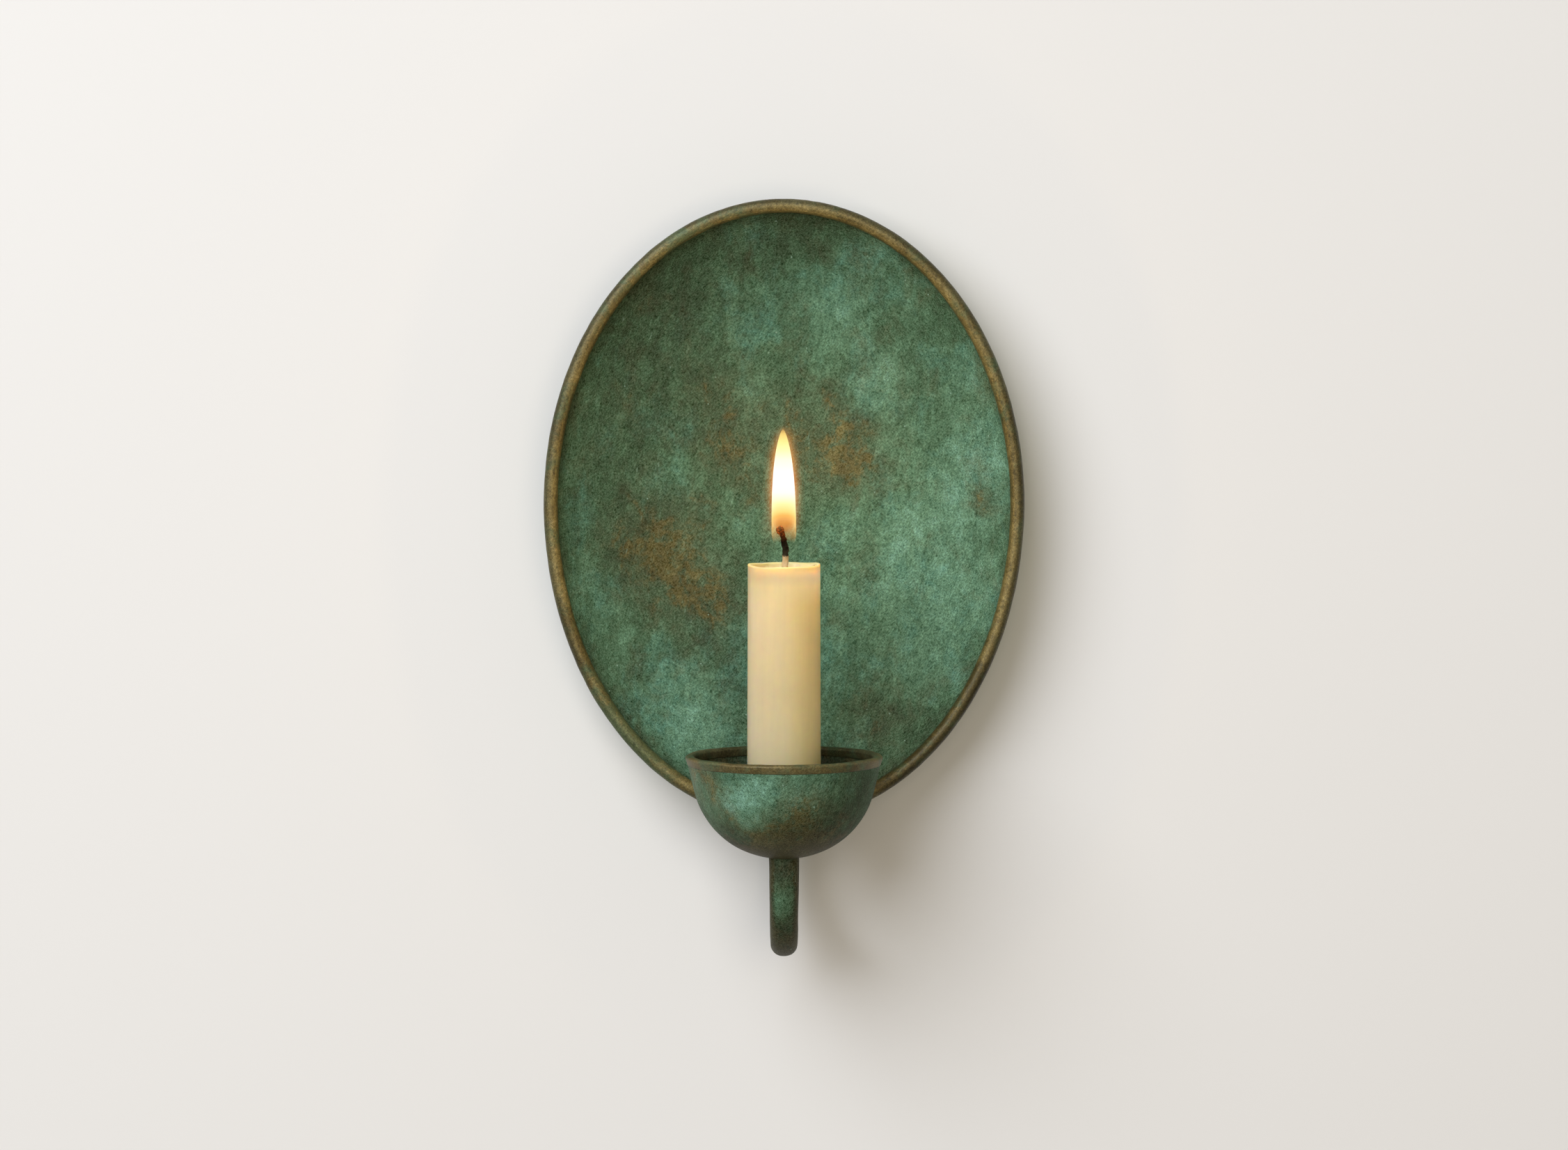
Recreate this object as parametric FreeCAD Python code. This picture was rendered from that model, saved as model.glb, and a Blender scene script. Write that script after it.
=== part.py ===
"""Wall sconce candle holder: an oval dished reflector, a J-shaped arm, a round cup and a stub candle.

Millimetres. +Z is up and +Y points into the wall. The origin is on the wall plane, midway between the
two keyholes of the wall strap, level with the widest line of the reflector. A "depth" is a distance out
from the wall, so a point at depth d has y = -d.
"""

import FreeCAD
import Part
import math
import os

V = FreeCAD.Vector

# Reflector dish and its rim rod
DISH_HALF_WIDTH = 82.4
DISH_TOP = 104.6
DISH_BOTTOM = 109.4
RIM_ROD_R = 2.5
RIM_DEPTH = 26.0
FLOOR_DEPTH = 8.0
SHEET_T = 1.5
# The dish's section is a superellipse: how flat its floor is, how upright its wall is, and how much
# of the quarter curve is used before the rim rod takes over
DISH_FLOOR_POWER = 2.2
DISH_WALL_POWER = 1.7
DISH_CURVE_END = 0.985

# Cup, measured downwards from the top of its rim
CUP_DEPTH = 68.0
CUP_RIM_Z = -82.0
CUP_HEIGHT = 35.5
CUP_T = 1.4
CUP_BASE_R = 34.3
CUP_BASE_ANGLE = 20.7
CUP_SIDE_R = 29.75
CUP_SIDE_LEAN = 13.5
CUP_RING_HEIGHT = 3.4
CUP_RING_INNER_R = 30.6
CUP_RING_OUTER_R = 33.75
CUP_RING_LEAN = 0.6
CUP_RING_ROUND = 1.1

# Candle socket and candle
SOCKET_BORE_R = 12.75
SOCKET_T = 1.2
SOCKET_LIP_R = 14.6
SOCKET_LIP_H = 0.6
SOCKET_FLARE_H = 2.4
SOCKET_TOP_DROP = 7.5
SEAT_DROP = 29.0
CANDLE_TOP_Z = -17.5
CANDLE_FOOT_R = 12.55
CANDLE_TOP_R = 12.3
CANDLE_EDGE_R = 0.8
POOL_R = 10.8
POOL_DEPTH = 2.2
WICK_R = 1.0
WICK_BORE_R = 1.02
WICK_FOOT_RISE = 0.5
WICK_RISE = 13.4
WICK_LEAN = 1.9

# Arm
ARM_BACK_DEPTH = 14.0
ARM_BEND_R = (CUP_DEPTH - ARM_BACK_DEPTH) / 2
ARM_BEND_Z = -122.7
CRANK_ANGLE = 35.0
CRANK_FOOT_Z = -108.0
TANG_T = 5.5
TANG_HALF_WIDTH = 8.0
TANG_TOP_Z = -59.0
TANG_FOOT_Z = -92.0
LIMB_HALF_WIDTH_BACK = 4.6
LIMB_HALF_WIDTH_CUP = 5.25
LIMB_HALF_THICK_BACK = 4.2
LIMB_HALF_THICK_CUP = 4.8
# The limb's section is a superellipse: 2 is an ellipse, and more is squarer
LIMB_POWER_BACK = 2.2
LIMB_POWER_CUP = 3.2
# The limb grows out of the tang over its first stretch, and swells over the last share of its length
LIMB_ROOT_LENGTH = 14.0
LIMB_ROOT_HALF_THICK = TANG_T / 2 - 0.4
SWELL_START = 0.55
SWELL_POWER = 1.3
SADDLE_RISE = 4.0

# Wall strap
STRAP_T = 3.0
STRAP_HALF_WIDTH = 11.0
STRAP_TOP_Z = 66.0
STRAP_FOOT_Z = -96.0
KEYHOLE_Z = 45.0
KEYHOLE_ENTRY_R = 4.6
KEYHOLE_NECK_R = 2.5
KEYHOLE_RISE = 8.0

# Screws and bosses
SCREW_R = 2.0
TAPPED_R = 2.03
CLEAR_R = 2.25
THREAD_PITCH = 0.7
THREAD_DEPTH = 0.35
COUNTERSINK_R = 4.1
HEAD_SET_BACK = 0.1
DISH_SCREW_LENGTH = 6.0
ARM_SCREW_LENGTH = 7.6
DISH_BOSS_R = 4.5
DISH_BOSS_Z = {"upper": 26.0, "lower": -22.0}
ARM_SCREW_Z = {"upper": -67.0, "lower": -82.0}
CUP_SCREW_LENGTH = 15.0
CUP_SCREW_HEAD_R = 3.7
CUP_SCREW_HEAD_H = 2.2
CUP_WASHER_R = 4.3
CUP_WASHER_T = 0.8
COUNTERBORE_R = 4.7
COUNTERBORE_DROP = 32.4

TOUCH = 0.01
CUP_AXIS = V(0, -CUP_DEPTH, CUP_RIM_Z)
OUT_OF_WALL = V(0, -1, 0)
UP = V(0, 0, 1)


def solid_of(shape):
    """The one solid that a boolean gave."""
    if len(shape.Solids) != 1:
        raise ValueError(f"expected one solid, got {len(shape.Solids)}")
    return shape.Solids[0]


def between(start, end, share):
    """The value that far from start to end."""
    return start + (end - start) * share


def rod(radius, start, end):
    """A plain cylinder between two points."""
    along = end - start
    return Part.makeCylinder(radius, along.Length, start, along)


def turned(points, base, axis=UP, side=V(1, 0, 0)):
    """A solid of revolution. Each point is (radius, height along the axis from base)."""
    line = [base + side * r + axis * h for r, h in points]
    outline = Part.makePolygon(line + [line[0]])
    return solid_of(Part.Face(outline).revolve(base, axis, 360))


def egg_edges(half_width, top, bottom, depth):
    """The reflector's outline at one depth: a half ellipse above the widest line and another below it."""
    centre = V(0, -depth, 0)
    side = centre + V(half_width, 0, 0)
    upper = Part.Ellipse(centre + V(0, 0, top), side, centre)
    lower = Part.Ellipse(centre + V(0, 0, bottom), side, centre)
    return (
        upper.toShape(-math.pi / 2, math.pi / 2),
        lower.toShape(math.pi / 2, 3 * math.pi / 2),
    )


def dish_rise(share):
    """How far the dish's front has risen from its floor to its rim, 0 to 1, at a share of its radius."""
    def rise(s):
        return 1 - (1 - s**DISH_FLOOR_POWER) ** (1 / DISH_WALL_POWER)
    return rise(share * DISH_CURVE_END) / rise(DISH_CURVE_END)


def dish_profile(radius, steps=14):
    """The sheet's section from the centre out to its edge, as a face in the half plane x >= 0."""
    front, back = [], []
    nudge = 0.001
    for i in range(steps + 1):
        share = math.sin(math.pi / 2 * i / steps)
        r = radius * share
        depth = FLOOR_DEPTH + (RIM_DEPTH - FLOOR_DEPTH) * dish_rise(share)
        near = max(share - nudge, 0.0)
        slope = (RIM_DEPTH - FLOOR_DEPTH) * (dish_rise(share) - dish_rise(near)) / (radius * nudge)
        if i == 0:
            slope = 0.0
        length = math.hypot(1, slope)
        front.append(V(r, -depth, 0))
        back.append(V(r + SHEET_T * slope / length, -depth + SHEET_T / length, 0))
    curves = []
    for points in (front, back):
        curve = Part.BSplineCurve()
        curve.interpolate(points)
        curves.append(curve.toShape())
    closing = [Part.makeLine(front[-1], back[-1]), Part.makeLine(back[0], front[0])]
    wire = Part.Wire(Part.__sortEdges__([curves[0], closing[0], curves[1], closing[1]]))
    return Part.Face(wire)


def stretched(shape, factor):
    """The shape with every height multiplied by factor."""
    matrix = FreeCAD.Matrix()
    matrix.scale(1, 1, factor)
    return shape.transformGeometry(matrix)


def reflector_rim():
    """The rod round the reflector's edge, swept in two halves that meet at the widest line."""
    inset = RIM_ROD_R
    edges = egg_edges(DISH_HALF_WIDTH - inset, DISH_TOP - inset, DISH_BOTTOM - inset, RIM_DEPTH)
    halves = []
    for edge in edges:
        start = edge.valueAt(edge.FirstParameter)
        along = edge.tangentAt(edge.FirstParameter)
        section = Part.Wire(Part.makeCircle(RIM_ROD_R, start, along))
        halves.append(Part.Wire(edge).makePipeShell([section], True, True))
    return solid_of(halves[0].fuse(halves[1]))


def reflector_dish(rim):
    """The pressed sheet. It ends on the rim rod."""
    inset = RIM_ROD_R
    radius = DISH_HALF_WIDTH - inset
    section = dish_profile(radius)
    upper = section.revolve(V(0, 0, 0), V(0, -1, 0), 180)
    lower = section.revolve(V(0, 0, 0), V(0, 1, 0), 180)
    halves = []
    for half in (upper, lower):
        above = half.CenterOfMass.z > 0
        height = (DISH_TOP if above else DISH_BOTTOM) - inset
        halves.append(stretched(half, height / radius))
    sheet = solid_of(halves[0].fuse(halves[1]))
    pieces = sheet.cut(rim).Solids
    return max(pieces, key=lambda piece: piece.Volume)


def cup_outline(offset):
    """The cup's section offset inwards, as edges from its axis to the seat of its rim ring, and the end point."""
    base_angle, lean = math.radians(CUP_BASE_ANGLE), math.radians(CUP_SIDE_LEAN)
    base_centre = V(0, 0, -CUP_HEIGHT + CUP_BASE_R)

    def on_base(angle):
        r = CUP_BASE_R - offset
        return base_centre + V(r * math.sin(angle), 0, -r * math.cos(angle))

    run = CUP_BASE_R - CUP_SIDE_R
    side_centre = base_centre + V(run * math.sin(base_angle), 0, -run * math.cos(base_angle))

    def on_side(angle):
        r = CUP_SIDE_R - offset
        return side_centre + V(r * math.sin(angle), 0, -r * math.cos(angle))

    side_end = on_side(math.pi / 2 - lean)
    rise = -CUP_RING_HEIGHT - side_end.z
    top = side_end + V(rise * math.tan(lean), 0, rise)
    middle = (base_angle + math.pi / 2 - lean) / 2
    edges = [
        Part.Arc(on_base(0), on_base(base_angle / 2), on_base(base_angle)).toShape(),
        Part.Arc(on_side(base_angle), on_side(middle), side_end).toShape(),
        Part.makeLine(side_end, top),
    ]
    return edges, on_base(0), top


def cup_body(offset):
    """What the cup's section offset inwards encloses, filled in, from its foot up to its rim ring."""
    edges, foot, top = cup_outline(offset)
    centre = V(0, 0, top.z)
    edges += [Part.makeLine(top, centre), Part.makeLine(centre, foot)]
    face = Part.Face(Part.Wire(Part.__sortEdges__(edges)))
    face.translate(CUP_AXIS)
    return solid_of(face.revolve(CUP_AXIS, UP, 360))


def cup_point(drop):
    """A point on the cup's axis, that far below the top of its rim."""
    return CUP_AXIS - UP * drop


def candle_cup():
    """The spun bowl, with a clearance hole for the screw at its foot."""
    bowl = cup_body(0).cut(cup_body(CUP_T))
    hole = rod(CLEAR_R, cup_point(CUP_HEIGHT + CUP_T), cup_point(CUP_HEIGHT - 2 * CUP_T))
    return solid_of(bowl.cut(hole))


def cup_rim_ring():
    """The ring on the cup's top edge, rounded above and leaning in a little below."""
    low, high = -CUP_RING_HEIGHT, 0.0
    ring = turned(
        [
            (CUP_RING_INNER_R + CUP_RING_LEAN, low),
            (CUP_RING_OUTER_R - CUP_RING_LEAN, low),
            (CUP_RING_OUTER_R, high),
            (CUP_RING_INNER_R, high),
        ],
        CUP_AXIS,
    )
    upper = [edge for edge in ring.Edges if edge.Closed and abs(edge.CenterOfMass.z - CUP_RIM_Z) < TOUCH]
    return solid_of(ring.makeFillet(CUP_RING_ROUND, upper))


def candle_socket():
    """The turned socket: a flared tube on a foot that fits the bowl, with a counterbore for the screw's head."""
    bore, outer = SOCKET_BORE_R, SOCKET_BORE_R + SOCKET_T
    blank = turned(
        [
            (0, -CUP_HEIGHT),
            (outer, -CUP_HEIGHT),
            (outer, -SOCKET_TOP_DROP - SOCKET_FLARE_H),
            (SOCKET_LIP_R, -SOCKET_TOP_DROP - SOCKET_LIP_H),
            (SOCKET_LIP_R, -SOCKET_TOP_DROP),
            (bore + SOCKET_LIP_H, -SOCKET_TOP_DROP),
            (bore, -SOCKET_TOP_DROP - SOCKET_LIP_H),
            (bore, -SEAT_DROP),
            (0, -SEAT_DROP),
        ],
        CUP_AXIS,
    )
    seated = blank.common(cup_body(CUP_T))
    counterbore = rod(COUNTERBORE_R, cup_point(COUNTERBORE_DROP), cup_point(SEAT_DROP))
    hole = rod(CLEAR_R, cup_point(CUP_HEIGHT), cup_point(SEAT_DROP))
    return solid_of(seated.cut(counterbore).cut(hole))


def cup_washer():
    low = -COUNTERBORE_DROP
    return turned(
        [
            (CLEAR_R, low),
            (CUP_WASHER_R, low),
            (CUP_WASHER_R, low + CUP_WASHER_T),
            (CLEAR_R, low + CUP_WASHER_T),
        ],
        CUP_AXIS,
    )


def threaded_shank(start, length):
    """Section points of a threaded shank as rings, going down from start to start - length."""
    points = [(SCREW_R, start)]
    turns = int((length - 1) / THREAD_PITCH)
    for i in range(turns):
        top = start - 0.5 - i * THREAD_PITCH
        points.append((SCREW_R, top))
        points.append((SCREW_R - THREAD_DEPTH, top - THREAD_PITCH / 2))
    points.append((SCREW_R - THREAD_DEPTH, start - length))
    return points


def slot_cutter(base, axis, side, half_length, depth):
    """A straight screwdriver slot, cut into a head from base against the axis."""
    half_width = 0.45
    across = axis.cross(side)
    corner = base - side * half_length - across * half_width - axis * depth
    along, over = side * (2 * half_length), across * (2 * half_width)
    face = Part.Face(Part.makePolygon([corner, corner + along, corner + along + over, corner + over, corner]))
    return face.extrude(axis * (2 * depth))


def cup_screw():
    """The screw that holds socket, cup and arm together: slotted, with a low domed head."""
    seat = -COUNTERBORE_DROP + CUP_WASHER_T
    head_top = seat + CUP_SCREW_HEAD_H
    head = [
        (0, head_top),
        (CUP_SCREW_HEAD_R - 1.2, head_top),
        (CUP_SCREW_HEAD_R - 0.3, head_top - 0.6),
        (CUP_SCREW_HEAD_R, head_top - 1.3),
        (CUP_SCREW_HEAD_R, seat),
    ]
    shank = threaded_shank(seat, CUP_SCREW_LENGTH)
    body = turned(head + shank + [(0, seat - CUP_SCREW_LENGTH)], CUP_AXIS)
    slot = slot_cutter(CUP_AXIS + UP * head_top, UP, V(1, 0, 0), CUP_SCREW_HEAD_R + 1, 1.0)
    return solid_of(body.cut(slot))


def flat_screw(z, length):
    """A slotted countersunk screw driven from behind the strap, its head just under the wall plane."""
    base = V(0, 0, z)
    cone = COUNTERSINK_R - SCREW_R
    head = [(0, -HEAD_SET_BACK), (COUNTERSINK_R - HEAD_SET_BACK, -HEAD_SET_BACK), (SCREW_R, -cone)]
    shank = threaded_shank(-cone, length - cone)
    body = turned(head + shank[1:] + [(0, -length)], base, V(0, 1, 0))
    slot = slot_cutter(base - V(0, HEAD_SET_BACK, 0), V(0, 1, 0), V(1, 0, 0), COUNTERSINK_R + 1, 0.9)
    return solid_of(body.cut(slot))


def countersunk_hole(z):
    """The cutter for one of the strap's countersunk holes."""
    cone = COUNTERSINK_R - CLEAR_R
    return turned(
        [
            (0, 1),
            (COUNTERSINK_R, 1),
            (COUNTERSINK_R, 0),
            (CLEAR_R, -cone),
            (CLEAR_R, -STRAP_T - 1),
            (0, -STRAP_T - 1),
        ],
        V(0, 0, z),
        V(0, 1, 0),
    )


def bar(half_width, top, foot, near, far):
    """A flat upright bar with round ends, from depth near to depth far."""
    left, right = V(-half_width, -near, 0), V(half_width, -near, 0)
    high, low = V(0, 0, top - half_width), V(0, 0, foot + half_width)
    crown, toe = V(0, -near, top), V(0, -near, foot)
    outline = [
        Part.makeLine(left + low, left + high),
        Part.Arc(left + high, crown, right + high).toShape(),
        Part.makeLine(right + high, right + low),
        Part.Arc(right + low, toe, left + low).toShape(),
    ]
    return Part.Face(Part.Wire(outline)).extrude(OUT_OF_WALL * (far - near))


def chamfered_front(shape, depth, size):
    """The bar with a chamfer round its front face, which lies at that depth."""
    def on_front(edge):
        box = edge.BoundBox
        return abs(box.YMin + depth) < TOUCH and box.YLength < TOUCH

    return shape.makeChamfer(size, [edge for edge in shape.Edges if on_front(edge)])


def keyhole(z):
    """The cutter for one keyhole: a round entry, and a neck that rises from it."""
    past = 1.0
    back, front = V(0, past, z), V(0, -STRAP_T - past, z)
    entry = rod(KEYHOLE_ENTRY_R, back, front)
    neck = bar(KEYHOLE_NECK_R, z + KEYHOLE_RISE + KEYHOLE_NECK_R, z - KEYHOLE_NECK_R, -past, STRAP_T + past)
    return entry.fuse(neck)


def wall_strap():
    """The flat bar behind the reflector that hangs on two wall screws."""
    strap = bar(STRAP_HALF_WIDTH, STRAP_TOP_Z, STRAP_FOOT_Z, 0, STRAP_T)
    strap = chamfered_front(strap, STRAP_T, 0.5)
    for z in (KEYHOLE_Z, -KEYHOLE_Z):
        strap = strap.cut(keyhole(z))
    for z in list(DISH_BOSS_Z.values()) + list(ARM_SCREW_Z.values()):
        strap = strap.cut(countersunk_hole(z))
    return solid_of(strap)


def dish_boss(z, dish):
    """A tapped pillar brazed to the back of the dish."""
    pillar = rod(DISH_BOSS_R, V(0, -STRAP_T, z), V(0, -RIM_DEPTH, z))
    pieces = pillar.cut(dish).Solids
    pillar = min(pieces, key=lambda piece: -piece.CenterOfMass.y)
    hole = rod(TAPPED_R, V(0, -STRAP_T, z), V(0, -DISH_SCREW_LENGTH - 0.4, z))
    return solid_of(pillar.cut(hole))


def arm_path():
    """The arm's centre line as (point, angle from straight down): a crank behind the dish, then the J."""
    crank = math.radians(CRANK_ANGLE)
    tang_depth = STRAP_T + TANG_T / 2
    radius = (ARM_BACK_DEPTH - tang_depth) / (2 * (1 - math.cos(crank)))
    run = radius * math.sin(crank)
    points = []
    steps, bend_steps = 4, 14
    for i in range(steps + 1):
        angle = crank * i / steps
        depth = tang_depth + radius * (1 - math.cos(angle))
        points.append((V(0, -depth, CRANK_FOOT_Z + 2 * run - radius * math.sin(angle)), angle))
    for i in range(1, steps + 1):
        angle = crank * (1 - i / steps)
        depth = ARM_BACK_DEPTH - radius * (1 - math.cos(angle))
        points.append((V(0, -depth, CRANK_FOOT_Z + radius * math.sin(angle)), angle))
    for i in range(bend_steps + 1):
        angle = math.pi * i / bend_steps
        centre = V(0, -(ARM_BACK_DEPTH + ARM_BEND_R), ARM_BEND_Z)
        offset = V(0, ARM_BEND_R * math.cos(angle), -ARM_BEND_R * math.sin(angle))
        points.append((centre + offset, angle))
    points.append((V(0, -CUP_DEPTH, CUP_RIM_Z - CUP_HEIGHT + SADDLE_RISE), math.pi))
    return points


def limb_section(centre, outward, half_width, half_thick, power, count=20):
    """One section of the arm's limb: a superellipse, rounder or squarer by its power."""
    def eased(value):
        return math.copysign(abs(value) ** (2 / power), value)

    points = []
    for i in range(count):
        turn = 2 * math.pi * (i + 0.5) / count
        across = V(half_width * eased(math.cos(turn)), 0, 0)
        points.append(centre + across + outward * (half_thick * eased(math.sin(turn))))
    curve = Part.BSplineCurve()
    curve.interpolate(points, PeriodicFlag=True)
    return Part.Wire(curve.toShape())


def arm(cup_solid):
    """The forged arm: a flat tang on the strap, a crank, and a round limb that swells towards the cup."""
    points = arm_path()
    distance = [0.0]
    for (a, _), (b, _) in zip(points, points[1:]):
        distance.append(distance[-1] + (b - a).Length)
    sections = []
    for (centre, angle), along in zip(points, distance):
        root = min(1.0, along / LIMB_ROOT_LENGTH)
        swell = max(0.0, (along / distance[-1] - SWELL_START) / (1 - SWELL_START)) ** SWELL_POWER
        half_width = between(LIMB_HALF_WIDTH_BACK, LIMB_HALF_WIDTH_CUP, swell)
        half_thick = between(LIMB_ROOT_HALF_THICK, LIMB_HALF_THICK_BACK, root)
        half_thick += (LIMB_HALF_THICK_CUP - LIMB_HALF_THICK_BACK) * swell
        power = between(LIMB_POWER_BACK, LIMB_POWER_CUP, swell)
        outward = V(0, -math.cos(angle), math.sin(angle))
        sections.append(limb_section(centre, outward, half_width, half_thick, power))
    limb = Part.makeLoft(sections, True, False)
    tang = bar(TANG_HALF_WIDTH, TANG_TOP_Z, TANG_FOOT_Z, STRAP_T, STRAP_T + TANG_T)
    tang = chamfered_front(tang, STRAP_T + TANG_T, 0.8)
    body = tang.fuse(limb).cut(cup_solid)
    body = max(body.Solids, key=lambda piece: piece.Volume)
    for z in ARM_SCREW_Z.values():
        body = body.cut(rod(TAPPED_R, V(0, 0, z), V(0, -STRAP_T - TANG_T - 1, z)))
    screw_end = COUNTERBORE_DROP - CUP_WASHER_T + CUP_SCREW_LENGTH
    body = body.cut(rod(TAPPED_R, cup_point(CUP_HEIGHT - 1), cup_point(screw_end + 1)))
    return solid_of(body)


def wick():
    """The wick: straight up the candle, then leaning over where it has burnt."""
    foot = CUP_RIM_Z - SEAT_DROP + WICK_FOOT_RISE
    top = CANDLE_TOP_Z - POOL_DEPTH + WICK_RISE
    bend = top - WICK_RISE * 0.6
    line = [V(0, -CUP_DEPTH, foot), V(0, -CUP_DEPTH, bend)]
    tip = V(-WICK_LEAN, -CUP_DEPTH, top)
    knee = V(-WICK_LEAN * 0.2, -CUP_DEPTH, (bend + top) / 2)
    path = Part.Wire([Part.makeLine(*line), Part.Arc(line[1], knee, tip).toShape()])
    section = Part.Wire(Part.makeCircle(WICK_R, line[0], UP))
    return solid_of(path.makePipeShell([section], True, True))


def candle():
    """The stub candle with its melt pool, bored for the wick."""
    foot = SEAT_DROP
    top = -(CANDLE_TOP_Z - CUP_RIM_Z)
    radius = CANDLE_TOP_R
    body = turned(
        [
            (0, -foot),
            (CANDLE_FOOT_R - CANDLE_EDGE_R, -foot),
            (CANDLE_FOOT_R, -foot + CANDLE_EDGE_R),
            (radius, -top - CANDLE_EDGE_R),
            (radius - CANDLE_EDGE_R, -top),
            (POOL_R, -top - POOL_DEPTH / 5),
            (POOL_R * 0.6, -top - POOL_DEPTH * 0.8),
            (0, -top - POOL_DEPTH),
        ],
        CUP_AXIS,
    )
    bore = rod(WICK_BORE_R, cup_point(foot - WICK_FOOT_RISE), V(0, -CUP_DEPTH, CANDLE_TOP_Z))
    return solid_of(body.cut(bore))


def main():
    os.makedirs("parts", exist_ok=True)
    rim = reflector_rim()
    dish = reflector_dish(rim)
    parts = {
        "reflector_rim": rim,
        "reflector_dish": dish,
        "wall_strap": wall_strap(),
        "arm": arm(cup_body(0)),
        "candle_cup": candle_cup(),
        "cup_rim_ring": cup_rim_ring(),
        "candle_socket": candle_socket(),
        "cup_washer": cup_washer(),
        "cup_screw": cup_screw(),
        "candle": candle(),
        "wick": wick(),
    }
    for place, z in DISH_BOSS_Z.items():
        parts[f"dish_boss_{place}"] = dish_boss(z, dish)
        parts[f"dish_screw_{place}"] = flat_screw(z, DISH_SCREW_LENGTH)
    for place, z in ARM_SCREW_Z.items():
        parts[f"arm_screw_{place}"] = flat_screw(z, ARM_SCREW_LENGTH)
    for name, shape in parts.items():
        print(f"{name:20s} valid={shape.isValid()} volume={shape.Volume:9.1f} mm3")
        shape.exportStep(f"parts/{name}.step")


main()
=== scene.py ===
"""Wall sconce candle holder: meshes, materials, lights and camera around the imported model."""

import math

import bpy
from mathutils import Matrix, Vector, noise

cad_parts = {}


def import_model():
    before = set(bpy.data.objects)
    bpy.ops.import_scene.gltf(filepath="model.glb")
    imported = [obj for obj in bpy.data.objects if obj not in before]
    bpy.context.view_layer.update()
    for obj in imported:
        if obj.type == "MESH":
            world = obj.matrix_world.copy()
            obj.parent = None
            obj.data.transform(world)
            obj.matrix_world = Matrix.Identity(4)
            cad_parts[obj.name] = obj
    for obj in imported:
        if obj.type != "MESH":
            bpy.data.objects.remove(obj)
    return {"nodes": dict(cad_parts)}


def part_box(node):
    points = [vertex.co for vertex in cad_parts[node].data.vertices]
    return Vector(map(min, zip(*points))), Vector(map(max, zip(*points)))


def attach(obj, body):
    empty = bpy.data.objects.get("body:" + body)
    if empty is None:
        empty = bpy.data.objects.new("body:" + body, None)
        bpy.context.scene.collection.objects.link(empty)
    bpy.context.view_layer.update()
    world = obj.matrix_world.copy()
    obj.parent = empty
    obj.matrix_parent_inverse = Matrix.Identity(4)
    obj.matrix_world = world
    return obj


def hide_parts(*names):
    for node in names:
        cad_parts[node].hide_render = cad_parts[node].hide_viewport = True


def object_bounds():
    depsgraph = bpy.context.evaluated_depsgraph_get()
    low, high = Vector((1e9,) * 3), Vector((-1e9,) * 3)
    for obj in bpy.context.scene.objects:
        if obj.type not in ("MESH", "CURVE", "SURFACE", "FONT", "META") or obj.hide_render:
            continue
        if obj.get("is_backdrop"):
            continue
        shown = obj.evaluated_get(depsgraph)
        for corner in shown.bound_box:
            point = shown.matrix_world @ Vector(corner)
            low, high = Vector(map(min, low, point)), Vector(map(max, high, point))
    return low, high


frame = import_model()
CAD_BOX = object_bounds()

MM = 0.001

# ---------------------------------------------------------------- sizes, in metres
# The outer sizes are read from the frame
RIM_LO, RIM_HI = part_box("reflector_rim")
DISH_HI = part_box("reflector_dish")[1]
STRAP_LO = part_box("wall_strap")[0]
CUP_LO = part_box("candle_cup")[0]
RING_LO, RING_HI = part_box("cup_rim_ring")
CANDLE_LO, CANDLE_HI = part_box("candle")
ARM_LO, ARM_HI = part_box("arm")

ROD_R = (RIM_HI.y - RIM_LO.y) / 2
RIM_DEPTH = -(RIM_HI.y + RIM_LO.y) / 2
EGG_WIDTH = RIM_HI.x - ROD_R
EGG_TOP = RIM_HI.z - ROD_R
EGG_BOTTOM = -RIM_LO.z - ROD_R

SHEET_T = 1.5 * MM
FLOOR_DEPTH = -DISH_HI.y + SHEET_T
DISH_FLOOR_POWER = 2.2
DISH_WALL_POWER = 1.7
DISH_CURVE_END = 0.985

AXIS_Y = (RING_LO.y + RING_HI.y) / 2
RING_R = RING_HI.x
RING_TOP = RING_HI.z
RING_FOOT = RING_LO.z
RING_INNER_R = RING_R - 3.15 * MM
CUP_T = 1.4 * MM
CUP_FOOT = CUP_LO.z
CUP_BASE_R = 34.3 * MM
CUP_BASE_ANGLE = math.radians(20.7)
CUP_SIDE_R = 29.75 * MM
CUP_SIDE_LEAN = math.radians(13.5)
CUP_HOLE_R = 2.25 * MM

CANDLE_R = CANDLE_HI.x
CANDLE_TOP_R = CANDLE_R - 0.25 * MM
CANDLE_TOP = CANDLE_HI.z
CANDLE_FOOT = CANDLE_LO.z
POOL_R = 10.8 * MM
POOL_DEPTH = 2.2 * MM

STRAP_T = -STRAP_LO.y
TANG_T = 5.5 * MM
TANG_HALF_WIDTH = ARM_HI.x
ARM_BACK_DEPTH = 14.0 * MM
CRANK_ANGLE = math.radians(35)
CRANK_FOOT = -108.0 * MM
LIMB_BACK = (4.6 * MM, 4.2 * MM)
LIMB_CUP = (5.25 * MM, 4.8 * MM)
BEND_R = (-AXIS_Y - ARM_BACK_DEPTH) / 2
BEND_Z = ARM_LO.z + LIMB_BACK[1] + BEND_R


# ---------------------------------------------------------------- mesh helpers
def wobble(point, size, seed=0.0):
    """Smooth noise from -1 to 1 with features of about that size."""
    return noise.noise(point / size + Vector((seed, seed * 1.7, seed * 0.3)))


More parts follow.
